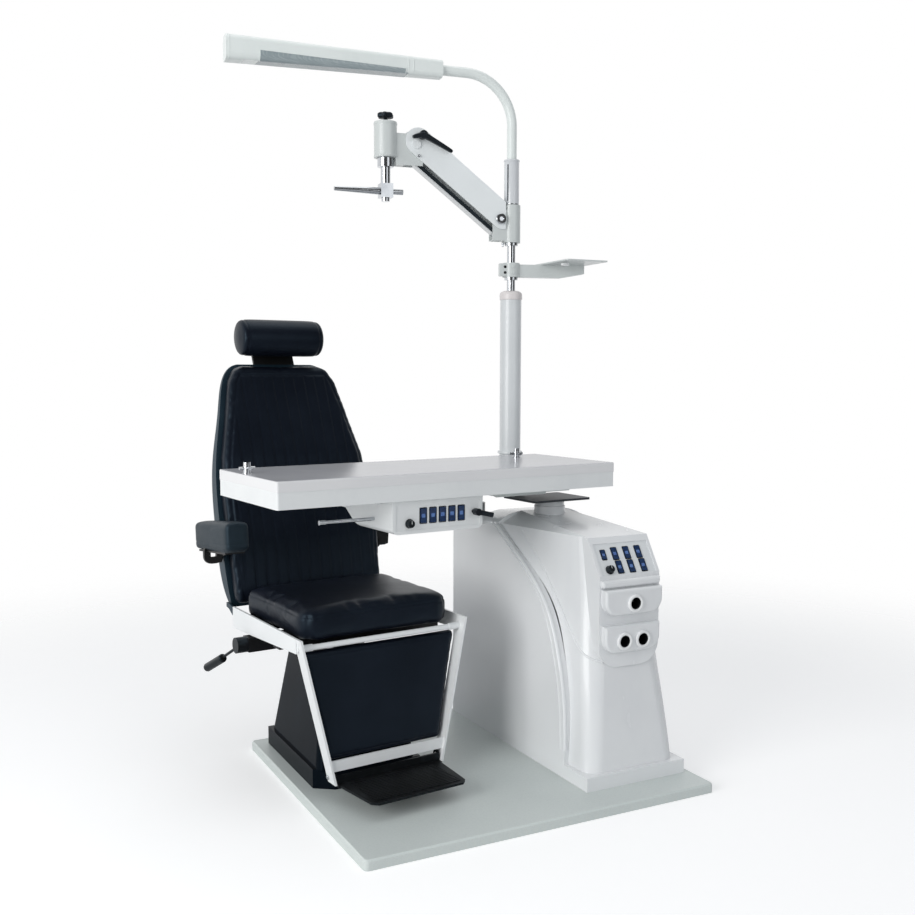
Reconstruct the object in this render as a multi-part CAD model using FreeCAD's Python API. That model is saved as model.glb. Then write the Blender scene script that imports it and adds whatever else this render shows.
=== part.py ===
import FreeCAD, Part
import math
import os
from FreeCAD import Matrix, Placement, Rotation, Vector

# An ophthalmic examination unit: a swivelling examination chair on a lift column,
# a console cabinet, an instrument table on its own lift column, and a pole that
# carries a reading lamp, an instrument arm and a tray.  All lengths in millimetres.
# Frame: x to the right along the front of the platform, y to the back, z up,
# origin at the middle of the platform's underside.

# Clearances and common thicknesses
overrun = 5.0
seat_gap = 0.3
running_gap = 0.05
free_gap = 0.5
guide_gap = 0.4
sheet = 4.0
strap_thickness = 6.0
edge_round = 3.0

# Platform
platform_length = 980.0
platform_depth = 860.0
platform_thickness = 25.0
platform_corner = 12.0
platform_edge = 4.0

# Chair base and lift
chair_x = -308.0
chair_y = 180.0
chair_turn = 6.0
plinth_half_x = 144.0
plinth_half_y = 205.0
plinth_height = 50.0
plinth_cut_x = 48.0
plinth_cut_y = 35.0
shroud_foot_half_x = 137.0
shroud_foot_half_y = 196.0
shroud_top_half_x = 104.0
shroud_top_half_y = 150.0
shroud_height = 243.0
shroud_corner = 26.0
lift_tube_radius = 55.0
ram_radius = 45.0
lift_tube_height = 270.0
ram_height = 210.0
ram_top = 352.0
spigot_radius = 30.0
spigot_height = 28.0
lift_flange_half_x = 90.0
lift_flange_half_y = 120.0
flange_thickness = 12.0
flange_bolt_radius = 8.0
drive_radius = 32.0
drive_length = 150.0
drive_reach = 135.0

# Seat frame of flat steel, half widths are from the middle of the chair
frame_half = 242.0
plate_back = 172.0
plate_front = -236.0
plate_top = 446.0
plate_top_front = 442.0
plate_low_back = 387.0
plate_low_front = 405.0
leg_width = 40.0
leg_top_front = -262.0
leg_foot_half = 158.0
leg_foot_front = -276.0
leg_foot_level = 70.0
front_rod_radius = 7.0
front_rod_back = -236.0
front_rod_level = 416.0
low_bar_front = -266.0
low_bar_level = 102.0
low_bar_height = 28.0
low_bar_thickness = 5.0
carrier_tube = 40.0
carrier_level = 390.0
carrier_spread = 105.0
carrier_rail_half = 70.0
carrier_hub_radius = 65.0
lock_bar_back = 60.0
lock_bar_width = 40.0
lock_bar_height = 38.0
lock_bar_end = 250.0

# Lock lever at the left of the seat
lock_cap_radius = 21.0
lock_cap_length = 30.0
lock_rod_radius = 4.0
lock_grip_radius = 12.0
lock_rod_run = (-15.0, 87.0, -52.0)
lock_grip_run = (-15.0, 89.0, -47.0)

# Leg pad and footplate
leg_pad_thickness = 28.0
leg_pad_top = 404.0
leg_pad_low = 133.0
leg_pad_top_front = -232.0
leg_pad_low_front = -259.0
leg_pad_crown = 6.0
leg_pad_crown_shares = (0.1, 0.9)
foot_pivot_back = -256.0
foot_pivot_level = 86.0
foot_pin_radius = 5.0
foot_plate_top = 72.0
foot_plate_thickness = 6.0
foot_front = -429.0
foot_back = -280.0
foot_front_half = 134.0
foot_back_half = 147.0
foot_rib_pitch = 9.0
foot_rib_width = 5.0
foot_rib_height = 2.0
foot_ear_thickness = 5.0
foot_ear_radius = 12.0
foot_upstand_height = 26.0
foot_corner = 14.0

# Seat cushion
seat_side_margin = 29.0
seat_half = frame_half - seat_side_margin
seat_front = -228.0
seat_back = 150.0
seat_top = 496.0
seat_front_corner = 62.0
seat_drawn_in = 4.0
seat_level_shares = (0.0, 0.16, 0.5, 0.76, 0.92, 1.0)
seat_inset_shares = (0.16, 0.02, 0.0, 0.12, 0.36, 1.0)
seat_edge_inset = 60.0

# Backrest: level, half width, front of the cushion, back of the shell
back_levels = (440.0, 476.0, 611.0, 728.0, 847.0, 980.0, 1060.0, 1096.0, 1110.0)
back_halves = (226.0, 233.0, 242.0, 240.0, 228.0, 196.0, 174.0, 150.0, 118.0)
back_fronts = (172.0, 175.0, 200.0, 236.0, 272.0, 322.0, 356.0, 371.0, 380.0)
back_rears = (250.0, 268.0, 300.0, 330.0, 356.0, 396.0, 424.0, 435.0, 436.0)
back_pad_thickness = 46.0
back_channels = 6
back_channel_crown = 4.0
back_side_round = 14.0
recline_back = 150.0
recline_level = 415.0
recline_pin_radius = 7.0
recline_lug_radius = 18.0
recline_lug_thickness = 6.0

# Headrest roll and its stem
headrest_half = 136.0
headrest_back = 388.0
headrest_level = 1188.0
headrest_high = 56.0
headrest_deep = 52.0
headrest_tilt = 18.0
headrest_end_shares = (0.0, 0.06, 0.25, 0.5, 0.75, 0.94, 1.0)
headrest_girth_shares = (0.62, 0.88, 1.0, 1.03, 1.0, 0.88, 0.62)
stem_width = 130.0
stem_thickness = 8.0
stem_depth = 150.0
stem_travel = 60.0
stem_rise = 30.0
stem_tube_radius = 9.0
stem_tube_half = 100.0
stem_tube_back = 396.0
stem_tube_level = 1176.0

# Armrests, outboard of the back
armrest_inner = 247.0
armrest_width = 65.0
armrest_length = 250.0
armrest_rear_height = 68.0
armrest_front_height = 78.0
armrest_front_round = 22.0
armrest_edge = 10.0
armrest_pivot_back = 245.0
armrest_pivot_level = 574.0
armrest_pad_lift = 26.0
armrest_rear_reach = 25.0
armrest_left_rise = 5.0
armrest_right_rise = 84.0
armrest_pin_radius = 6.0
armrest_pin_depth = 9.0
armrest_strap = 5.0
armrest_lug_radius = 16.0

# Cabinet, from its own middle line
cabinet_x = 313.0
cabinet_half = 155.0
cabinet_front = -335.0
cabinet_back = 412.0
cabinet_foot_height = 37.0
cabinet_step = 12.0
# Outline of the side shell's front edge, as y and z, from the foot to the roof
sweep_points = ((-228.0, 100.0), (-219.0, 240.0), (-190.0, 350.0), (-142.0, 451.0), (-12.0, 562.0), (140.0, 652.0))
eave_back = 598.0
eave_middle = 634.0
eave_front = 652.0
roof_middle = 280.0
roof_half_back = 60.0
roof_half_middle = 66.0
roof_half_front = 72.0
roof_back = 640.0
roof_middle_top = 674.0
roof_front = 687.0
rim_width = 22.0

# Front cowl: level, back edge, front edge, half width at the front, corner radius
cowl_levels = (62.0, 150.0, 250.0, 375.0, 470.0, 560.0, 640.0, 700.0)
cowl_backs = (-190.0, -188.0, -176.0, -138.0, -70.0, 30.0, 150.0, 240.0)
cowl_fronts = (-322.0, -312.0, -297.0, -276.0, -262.0, -250.0, -240.0, -232.0)
cowl_halves = (140.0, 131.0, 120.0, 105.0, 97.0, 95.0, 94.0, 94.0)
cowl_corner = 40.0
cowl_corner_share = 0.4
head_half = 95.0
head_low = 325.0
head_low_corner = 58.0
head_front = -292.0
head_back = -140.0
head_crease_y = -235.0
head_crease_z = 659.0
slope_foot_y = -299.0
slope_foot_z = 557.0
ledge_half = 93.0
ledge_front = -304.0
ledge_low = 536.0
ledge_round = 9.0
pod_halves = (90.0, 87.0)
pod_fronts = (-316.0, -311.0)
pod_lows = (466.0, 366.0)
pod_tops = (533.0, 438.0)
pod_corner = 36.0
pod_round = 7.0
holder_levels = (495.0, 397.0, 397.0)
holder_offsets = (0.0, -29.0, 29.0)
holder_ring_radius = 23.4
holder_bore_radius = 17.2
holder_ring_proud = 3.0
holder_depth = 90.0
turret_x = 310.0
turret_y = 96.0
turret_radius = 41.0
turret_top = 721.0

# Console panel on the slope, x from the middle and s down from the crease
panel_half = 86.0
panel_start = 18.0
panel_end = 107.0
panel_thickness = 3.0
panel_recess = 2.0
rocker_width = 15.0
rocker_height = 32.0
small_rocker_width = 12.0
small_rocker_height = 25.0
rocker_depth = 7.0
rocker_proud = 3.0
rocker_dip = 1.6
rocker_gap = 0.5
console_rocker_x = (-62.0, -26.0, 12.0, 49.0, -24.0, 13.0, 51.0)
console_rocker_s = (49.0, 48.0, 48.0, 48.0, 86.0, 86.0, 86.0)
console_knob_x = -58.0
console_knob_s = 92.0
knob_radius = 11.0
knob_height = 14.0
knob_stem_radius = 3.0
knob_flutes = 12
knob_flute_radius = 1.2

# Power unit in the cabinet
power_half_x = 90.0
power_half_y = 70.0
power_height = 180.0
power_cap_height = 54.0
power_y = 60.0

# Small tray on the cabinet
small_tray_length = 200.0
small_tray_depth = 160.0
small_tray_thickness = 6.0
small_tray_turn = 4.4
small_tray_back = 15.0
small_tray_corner = 8.0
small_tray_pin_radius = 8.0
small_tray_pin_depth = 20.0

# Instrument table, from its front left corner
table_x = -609.0
table_y = -208.0
table_turn = 5.5
table_length = 1003.0
table_depth = 365.0
table_top = 842.0
table_bottom = 776.0
board_thickness = 26.0
table_corner = 6.0
skirt_wall = 22.0
table_pan = 6.0
column_x = 199.0
column_y = 355.0
column_outer_radius = 35.0
column_inner_radius = 28.0
column_outer_top = 690.0
column_inner_foot = 250.0
column_spigot_radius = 18.0
column_spigot_height = 26.0
arm_low = 740.0
arm_hub_radius = 46.0
arm_web_reach = 32.0
arm_web_shoulder = 28.0
arm_web_left = 37.0
arm_plate_left = 640.0
arm_plate_right = 900.0
arm_plate_front = 70.0
arm_plate_back = 338.0
post_left_inset = 22.0
post_left_back = 135.0
post_right_inset = 137.0
post_right_back = 92.0
post_places = ((post_left_inset, table_depth - post_left_back),
               (table_length - post_right_inset, table_depth - post_right_back))
post_radius = 9.0
post_height = 27.0
post_bar_radius = 4.0
post_bar_half = 20.0
post_bar_level = 12.0
post_base_radius = 12.0
post_base_height = 2.0

# Switch box under the table
box_left = 308.0
box_right = 572.0
box_front = 15.0
box_low = 692.0
box_depth_low = 185.0
box_depth_top = 290.0
box_corner = 16.0
table_panel_margin = 9.0
table_rocker_x = (396.0, 424.0, 452.0, 480.0, 508.0)
table_rocker_level = 735.0
table_rocker_width = 17.0
table_rocker_height = 36.0
table_knob_x = 356.0
table_knob_level = 718.0
brake_x = 545.0
brake_level = 736.0
brake_radius = 9.0
brake_rod_radius = 5.0
brake_handle_radius = 6.5
brake_length = 42.0
brake_drop = 10.0
rod_back = 110.0
rod_level = 723.0
rod_radius = 4.5
rod_reach = 135.0
rod_depth = 60.0
rod_travel = 12.0
rod_tip_radius = 6.0
rod_tip_length = 16.0
rail_left = 205.0
rail_right = 300.0
rail_front = 62.0
rail_width = 18.0
rail_height = 12.0

# Pole
pole_along = 942.9
pole_behind = 47.5
table_cos = math.cos(math.radians(table_turn))
table_sin = math.sin(math.radians(table_turn))
pole_x = table_x + pole_along * table_cos - (table_depth + pole_behind) * table_sin
pole_y = table_y + pole_along * table_sin + (table_depth + pole_behind) * table_cos
pole_outer_radius = 32.0
pole_outer_top = 1326.0
pole_cap_height = 12.0
pole_wall = 4.0
pole_inner_radius = 12.5
pole_inner_foot = 900.0
pole_inner_top = 1650.0
sleeve_low = 1589.0
sleeve_top = 1721.0
sleeve_radius = 22.5
sleeve_neck_radius = 18.0
sleeve_slot = 4.0
sleeve_slot_length = 60.0
collar_thickness = 8.0
collar_radius = 20.0

# Upper tray on the pole
tray_arm_turn = -17.0
tray_arm_low = 1374.0
tray_arm_height = 42.0
tray_arm_length = 225.0
tray_arm_straight = 124.0
tray_arm_width = 26.0
tray_clamp_radius = 26.0
tray_x = 438.0
tray_y = 216.0
tray_turn = -3.0
tray_length = 138.0
tray_depth = 248.0
tray_thickness = 4.0
tray_corner = 6.0
tray_screw_radius = 4.0
tray_screw_spacing = 18.0

# Instrument arm: distances along the arm from the pole, and levels
arm_turn = -8.0
hub_low = 1476.0
hub_high = 1587.0
hub_radius = 27.0
cheek_width = 34.0
cheek_reach = 66.0
cheek_slot_rise = 92.0
cheek_low = 1480.0
cheek_high = 1572.0
beam_hub_pivot = (43.0, 1543.0)
beam_head_pivot = (305.0, 1742.0)
link_shift = (10.0, -45.0)
beam_above = 50.0
beam_below = 27.0
beam_end_round = 30.0
beam_wall = 4.0
link_half = 7.0
link_width = 24.0
arm_pin_radius = 5.0
arm_pin_head_radius = 13.0
arm_pin_head = 4.0
head_reach = 391.0
head_radius = 33.0
head_foot = 1701.0
head_cap = 1801.0
head_block_half = 17.0
head_block_low = 1682.0
head_block_high = 1771.0
head_block_reach = 284.0
spindle_collar_radius = 23.5
spindle_collar_low = 1675.0
spindle_radius = 14.0
spindle_low = 1590.0
spindle_bore_depth = 60.0
cross_half = 18.0
cross_high = 1628.0
cross_low = 1588.0
pin_level = 1607.0
pin_reach = 542.0
pin_tip_radius = 6.0
pin_root_radius = 10.5
stub_reach = 340.0
stub_radius = 8.0
stub_nut_radius = 12.0
stub_nut_length = 10.0
star_radius = 23.0
star_height = 18.0
star_gap = 10.0
star_lobes = 6
star_lobe_radius = 7.0
star_stem_radius = 5.0
clamp_place = (289.0, 1766.0)
clamp_boss_radius = 10.0
clamp_boss_height = 16.0
clamp_arm = (-92.0, -74.0)
clamp_arm_radius = 5.0
clamp_tip_radius = 7.0

# Lamp: distances along the lamp from the pole
lamp_turn = -7.6
lamp_level = 1962.0
lamp_tube_radius = 14.5
lamp_bend = 145.0
lamp_tube_wall = 2.0
lamp_tube_end = 250.0
lamp_near = 225.0
lamp_collar_end = 318.0
lamp_far = 843.0
lamp_near_half = 25.0
lamp_far_half = 34.0
lamp_depth_share = 0.95
lamp_round_share = 0.55
lamp_wall = 2.5
lens_near = 330.0
lens_far = 798.0
lens_width = 42.0
lens_thickness = 3.0

os.makedirs("parts", exist_ok=True)
X_AXIS = Vector(1, 0, 0)
Y_AXIS = Vector(0, 1, 0)
Z_AXIS = Vector(0, 0, 1)
deck = platform_thickness


def box(x0, x1, y0, y1, z0, z1):
    """A block between two corners."""
    return Part.makeBox(x1 - x0, y1 - y0, z1 - z0, Vector(x0, y0, z0))


def rod(start, end, radius):
    """A round bar between two points."""
    line = Vector(*end) - Vector(*start)
    return Part.makeCylinder(radius, line.Length, Vector(*start), line)


def post(x, y, low, high, radius):
    """An upright round bar."""
    return Part.makeCylinder(radius, high - low, Vector(x, y, low))


def prism(points, along):
    """A polygon carried along a straight line."""
    wire = Part.makePolygon([Vector(*p) for p in points] + [Vector(*points[0])])
    return Part.Face(wire).extrude(Vector(*along))


def side_prism(points, x0, x1):
    """A polygon of (y, z) points between two x places."""
    return prism([(x0, y, z) for y, z in points], (x1 - x0, 0, 0))


def plan_prism(points, z0, z1):
    """A polygon of (x, y) points between two levels."""
    return prism([(x, y, z0) for x, y in points], (0, 0, z1 - z0))


def rounded_wire(x0, x1, y0, y1, z, radius, draw=0.0):
    """A rectangle at one level with round corners, its sides drawn in by arcs."""
    turn = radius * (1 - math.sqrt(0.5))
    corners = ((x0, y0, 1, 1), (x1, y0, -1, 1), (x1, y1, -1, -1), (x0, y1, 1, -1))
    starts, middles, ends = [], [], []
    for index, (x, y, sx, sy) in enumerate(corners):
        along_x = Vector(x + sx * radius, y, z)
        along_y = Vector(x, y + sy * radius, z)
        first, last = (along_y, along_x) if index % 2 == 0 else (along_x, along_y)
        starts.append(first)
        middles.append(Vector(x + sx * turn, y + sy * turn, z))
        ends.append(last)
    centre = Vector((x0 + x1) / 2, (y0 + y1) / 2, z)
    edges = []
    for index in range(len(corners)):
        edges.append(Part.Arc(starts[index], middles[index], ends[index]).toShape())
        here, there = ends[index], starts[(index + 1) % len(corners)]
        middle = (here + there) / 2
        if draw > 0:
            inward = (centre - middle).normalize()
            edges.append(Part.Arc(here, middle + inward * draw, there).toShape())
        else:
            edges.append(Part.LineSegment(here, there).toShape())
    return Part.Wire(edges)


def rounded_block(x0, x1, y0, y1, z0, z1, radius):
    """A block with round upright corners."""
    return Part.Face(rounded_wire(x0, x1, y0, y1, z0, radius)).extrude(Vector(0, 0, z1 - z0))


def loft(wires, ruled=False):
    """A closed solid through a row of sections."""
    return Part.makeLoft(wires, True, ruled)


def turned(shape, angle, x=0.0, y=0.0):
    """A copy turned about the upright through the origin, then moved to a place in plan."""
    copy = shape.copy()
    copy.Placement = Placement(Vector(x, y, 0), Rotation(Z_AXIS, angle)).multiply(copy.Placement)
    return copy


def swung(shape, place, axis, angle):
    """A copy turned about an axis through a point."""
    copy = shape.copy()
    turn = Rotation(axis, angle)
    copy.Placement = Placement(Vector(*place) - turn.multVec(Vector(*place)), turn).multiply(copy.Placement)
    return copy


def mirrored(shape):
    """The same form on the other side of the x = 0 plane."""
    return shape.mirror(Vector(0, 0, 0), X_AXIS)


def fused(*shapes):
    """One solid out of touching ones."""
    result = shapes[0].fuse(list(shapes[1:])) if len(shapes) > 1 else shapes[0]
    return result.removeSplitter()


def rounded(shape, radius, keep):
    """Fillet the edges that a test picks."""
    edges = [edge for edge in shape.Edges if keep(edge)]
    return shape.makeFillet(radius, edges)


def spread(edge):
    """The size of an edge's box along x, y and z."""
    bounds = edge.BoundBox
    return bounds.XLength, bounds.YLength, bounds.ZLength


def write(name, *solids):
    """One file for one named piece."""
    shape = solids[0] if len(solids) == 1 else Part.makeCompound(list(solids))
    shape.exportStep("parts/" + name + ".step")


def in_chair(shape):
    return turned(shape, chair_turn, chair_x, chair_y)


def in_table(shape):
    return turned(shape, table_turn, table_x, table_y)


def in_arm(shape):
    """The instrument arm is drawn reaching to -x from the pole."""
    return turned(shape, arm_turn, pole_x, pole_y)


def in_lamp(shape):
    return turned(shape, lamp_turn, pole_x, pole_y)


# Platform

def make_platform():
    board = rounded_block(-platform_length / 2, platform_length / 2, -platform_depth / 2, platform_depth / 2,
                          0, platform_thickness, platform_corner)
    top = [edge for edge in board.Edges
           if abs(edge.CenterOfMass.z - platform_thickness) < platform_edge / 2]
    write("platform", board.makeChamfer(platform_edge, top))


# Chair base

def plinth_outline(inset):
    half_x = plinth_half_x - inset
    half_y = plinth_half_y - inset
    return ((-half_x + plinth_cut_x, -half_y), (half_x, -half_y), (half_x, half_y), (-half_x, half_y),
            (-half_x, -half_y + plinth_cut_y))


def base_form(inset, low):
    """The plinth with its cut front corner and the shroud that narrows upward."""
    plinth = plan_prism(plinth_outline(inset), low, deck + plinth_height - inset)
    foot = deck + plinth_height - inset
    top = foot + shroud_height
    shroud = loft([
        rounded_wire(-shroud_foot_half_x + inset, shroud_foot_half_x - inset,
                     -shroud_foot_half_y + inset, shroud_foot_half_y - inset, foot, shroud_corner),
        rounded_wire(-shroud_top_half_x + inset, shroud_top_half_x - inset,
                     -shroud_top_half_y + inset, shroud_top_half_y - inset, top, shroud_corner),
    ], True)
    return fused(plinth, shroud)


def make_chair_base():
    cover = base_form(0, deck).cut(base_form(sheet, deck - overrun))
    top = deck + plinth_height + shroud_height
    cover = cover.cut(post(0, 0, top - sheet - overrun, top + overrun, lift_tube_radius + free_gap))
    write("chair_base_cover", turned(cover, 0, chair_x, chair_y))
    tube = post(0, 0, deck, deck + lift_tube_height + shroud_corner, lift_tube_radius)
    flange = box(-lift_flange_half_x, lift_flange_half_x, -lift_flange_half_y, lift_flange_half_y,
                 deck, deck + flange_thickness)
    drive = post(0, drive_reach, deck + flange_thickness, deck + flange_thickness + drive_length, drive_radius)
    bridge = box(-drive_radius, drive_radius, 0, drive_reach, deck + flange_thickness,
                 deck + flange_thickness + sheet)
    outer = fused(tube, flange, drive, bridge)
    outer = outer.cut(post(0, 0, deck + flange_thickness, ram_top, ram_radius + running_gap))
    bolts = []
    for sx in (-1, 1):
        for sy in (-1, 1):
            x = sx * (lift_flange_half_x - 2 * flange_bolt_radius)
            y = sy * (lift_flange_half_y - 2 * flange_bolt_radius)
            bolts.append(turned(post(x, y, deck + flange_thickness, deck + flange_thickness + flange_bolt_radius,
                                     flange_bolt_radius), 0, chair_x, chair_y))
    write("chair_lift_outer", turned(outer, 0, chair_x, chair_y), *bolts)
    ram = fused(post(0, 0, ram_top - ram_height, ram_top, ram_radius),
                post(0, 0, ram_top, ram_top + spigot_height, spigot_radius))
    write("chair_lift_ram", turned(ram, 0, chair_x, chair_y))


# Seat frame

def leg_section(level, half, front, side):
    """The flat bar's rectangle at one level of a leg."""
    inner = side * (half - strap_thickness)
    outer = side * half
    return Part.makePolygon([Vector(inner, front, level), Vector(outer, front, level),
                             Vector(outer, front + leg_width, level), Vector(inner, front + leg_width, level),
                             Vector(inner, front, level)])


def leg_share(level):
    """How far down a leg a level lies, from 0 at the side plate to 1 at the foot."""
    return (plate_top_front - level) / (plate_top_front - leg_foot_level)


def leg_half(level):
    return frame_half + (leg_foot_half - frame_half) * leg_share(level)


def leg_front(level):
    return leg_top_front + (leg_foot_front - leg_top_front) * leg_share(level)


def make_leg_frame():
    pieces = []
    for side in (-1, 1):
        x0, x1 = sorted((side * frame_half, side * (frame_half - strap_thickness)))
        pieces.append(side_prism(((plate_back, plate_low_back), (plate_back, plate_top),
                                  (plate_front, plate_top_front), (plate_front, plate_low_front)), x0, x1))
        leg = loft([leg_section(plate_top_front, frame_half, leg_top_front, side),
                    leg_section(leg_foot_level, leg_foot_half, leg_foot_front, side)], True)
        pieces.append(leg)
        inner = side * (leg_half(foot_pivot_level) - strap_thickness / 2)
        tip = side * (leg_half(foot_pivot_level) - strap_thickness - 2 * foot_ear_thickness)
        pieces.append(rod((inner, foot_pivot_back, foot_pivot_level), (tip, foot_pivot_back, foot_pivot_level),
                          foot_pin_radius))
        bolt = side * (frame_half - strap_thickness / 2)
        end = side * (frame_half - strap_thickness - 2 * recline_lug_thickness)
        pieces.append(rod((bolt, recline_back, recline_level), (end, recline_back, recline_level),
                          recline_pin_radius))
    inner = frame_half - strap_thickness / 2
    pieces.append(rod((-inner, front_rod_back, front_rod_level), (inner, front_rod_back, front_rod_level),
                      front_rod_radius))
    reach = leg_half(low_bar_level + low_bar_height) - strap_thickness / 2
    pieces.append(box(-reach, reach, low_bar_front, low_bar_front + low_bar_thickness,
                      low_bar_level, low_bar_level + low_bar_height))
    write("leg_frame", in_chair(fused(*pieces)))


def make_seat_carrier():
    inner = frame_half - strap_thickness
    half = carrier_tube / 2
    top = carrier_level + carrier_tube
    pieces = []
    for back in (-carrier_spread, carrier_spread):
        pieces.append(box(-inner, inner, back - half, back + half, carrier_level, top))
    for side in (-1, 1):
        x = side * carrier_rail_half
        pieces.append(box(x - half, x + half, -carrier_spread, carrier_spread, carrier_level, top))
    pieces.append(box(-carrier_rail_half, carrier_rail_half, -carrier_hub_radius, carrier_hub_radius,
                      top - carrier_tube, top - carrier_tube / 2))
    pieces.append(post(0, 0, ram_top, carrier_level, carrier_hub_radius))
    lock_low = ram_top - sheet
    pieces.append(box(-lock_bar_end, -carrier_hub_radius, lock_bar_back - lock_bar_width / 2,
                      lock_bar_back + lock_bar_width / 2, lock_low, lock_low + lock_bar_height))
    pieces.append(box(-carrier_hub_radius - overrun, 0, lock_bar_back - lock_bar_width / 2,
                      lock_bar_back, ram_top, lock_low + lock_bar_height))
    pieces.append(box(-carrier_rail_half - half, -carrier_rail_half + half, lock_bar_back - lock_bar_width / 2,
                      lock_bar_back + lock_bar_width / 2, lock_low, carrier_level))
    carrier = fused(*pieces)
    carrier = carrier.cut(post(0, 0, ram_top - overrun, ram_top + spigot_height + free_gap,
                               spigot_radius + running_gap))
    write("seat_carrier", in_chair(carrier))


def make_lock_lever():
    level = ram_top - sheet + lock_bar_height / 2
    start = Vector(-lock_bar_end - seat_gap, lock_bar_back, level)
    cap = Part.makeCylinder(lock_cap_radius, lock_cap_length, start, Vector(-1, 0, 0))
    elbow = start + Vector(-lock_cap_length / 2, 0, 0)
    knee = elbow + Vector(*lock_rod_run)
    end = knee + Vector(*lock_grip_run)
    stick = rod(tuple(elbow), tuple(knee + Vector(*lock_grip_run) / 2), lock_rod_radius)
    grip_line = end - knee
    grip = Part.makeCylinder(lock_grip_radius, grip_line.Length, knee, grip_line)
    grip = grip.makeFillet(lock_grip_radius / 2, [edge for edge in grip.Edges if edge.Length > lock_grip_radius * 6
                                                  and edge.isClosed()])
    handle = fused(cap, stick)
    write("lock_lever", in_chair(handle.cut(grip)), in_chair(grip))


def make_leg_pad():
    """A tapered pad between the legs with a gently crowned face."""
    wires = []
    steps = 5
    for index in range(steps):
        share = index / (steps - 1)
        level = leg_pad_low + (leg_pad_top - leg_pad_low) * share
        front = leg_pad_low_front + (leg_pad_top_front - leg_pad_low_front) * share
        half = leg_half(level) - strap_thickness - seat_gap
        edge = leg_pad_thickness / 4
        low_share, high_share = leg_pad_crown_shares
        crown = leg_pad_crown * math.sin(math.pi * (low_share + (high_share - low_share) * share))
        back = front + leg_pad_thickness
        points = (Vector(-half, back, level), Vector(half, back, level), Vector(half, front + edge, level),
                  Vector(half - edge, front, level), Vector(-half + edge, front, level),
                  Vector(-half, front + edge, level))
        face = Part.Arc(points[3], Vector(0, front - crown, level), points[4])
        edges = [Part.LineSegment(points[0], points[1]), Part.LineSegment(points[1], points[2]),
                 Part.LineSegment(points[2], points[3]), face, Part.LineSegment(points[4], points[5]),
                 Part.LineSegment(points[5], points[0])]
        wires.append(Part.Wire([edge_line.toShape() for edge_line in edges]))
    write("leg_pad", in_chair(loft(wires)))


def make_footplate():
    top = foot_plate_top
    low = foot_plate_top - foot_plate_thickness
    plate = plan_prism(((-foot_front_half + foot_corner, foot_front), (foot_front_half - foot_corner, foot_front),
                        (foot_front_half, foot_front + foot_corner), (foot_back_half, foot_back),
                        (foot_back_half, foot_pivot_back - foot_ear_radius / 2),
                        (-foot_back_half, foot_pivot_back - foot_ear_radius / 2),
                        (-foot_back_half, foot_back), (-foot_front_half, foot_front + foot_corner)), low, top)
    pieces = [plate]
    ear_outer = leg_foot_half - strap_thickness - 2 * seat_gap
    upstand = foot_pivot_back - foot_ear_radius / 2
    pieces.append(box(-foot_back_half, foot_back_half, upstand - foot_plate_thickness, upstand,
                      low, low + foot_upstand_height))
    for side in (-1, 1):
        x0, x1 = sorted((side * ear_outer, side * (ear_outer - foot_ear_thickness)))
        ear = rod((x0, foot_pivot_back, foot_pivot_level), (x1, foot_pivot_back, foot_pivot_level), foot_ear_radius)
        web = box(x0, x1, upstand - foot_plate_thickness, foot_pivot_back, low, foot_pivot_level)
        foot_tie = box(min(side * foot_back_half / 2, x0), max(side * foot_back_half / 2, x1),
                       upstand - foot_plate_thickness - foot_ear_radius, upstand, low, top)
        pieces += [ear, web, foot_tie]
    count = int((foot_back - foot_front - foot_corner) / foot_rib_pitch)
    for index in range(count):
        y = foot_front + foot_corner + index * foot_rib_pitch
        pieces.append(box(-foot_front_half + foot_corner, foot_front_half - foot_corner, y, y + foot_rib_width,
                          top - foot_rib_height, top + foot_rib_height))
    plate = fused(*pieces)
    for side in (-1, 1):
        plate = plate.cut(rod((side * (foot_back_half - foot_corner), foot_pivot_back, foot_pivot_level),
                              (side * (foot_back_half + foot_corner), foot_pivot_back, foot_pivot_level),
                              foot_pin_radius + running_gap))
    write("footplate", in_chair(plate))


def make_seat_cushion():
    low = carrier_level + carrier_tube
    wires = []
    for rise, inset in zip(seat_level_shares, seat_inset_shares):
        gap = seat_edge_inset * inset
        level = low + (seat_top - low) * rise
        front_corner = seat_front_corner - gap / 2
        wires.append(rounded_wire(-seat_half + gap, seat_half - gap, seat_front + gap, seat_back - gap / 2,
                                  level, front_corner, seat_drawn_in))
    write("seat_cushion", in_chair(loft(wires)))


# Backrest

def back_section(index, inset, front, rear, crown):
    """A closed outline at one level: flat back, round sides, a front of shallow channels."""
    level = back_levels[index]
    half = back_halves[index] - inset
    side = min(back_side_round, (rear - front) / 3)
    corners = [Vector(-half + side, rear, level), Vector(half - side, rear, level),
               Vector(half - side, front + side / 3, level), Vector(-half + side, front + side / 3, level)]
    edges = [Part.LineSegment(corners[0], corners[1]).toShape(),
             Part.Arc(corners[1], Vector(half, (front + rear) / 2, level), corners[2]).toShape()]
    here = corners[2]
    step = (corners[3] - corners[2]) / back_channels
    for channel in range(back_channels):
        there = corners[2] + step * (channel + 1)
        middle = (here + there) / 2 + Vector(0, -crown, 0)
        edges.append(Part.Arc(here, middle, there).toShape())
        here = there
    edges.append(Part.Arc(corners[3], Vector(-half, (front + rear) / 2, level), corners[0]).toShape())
    return Part.Wire(edges)


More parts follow.
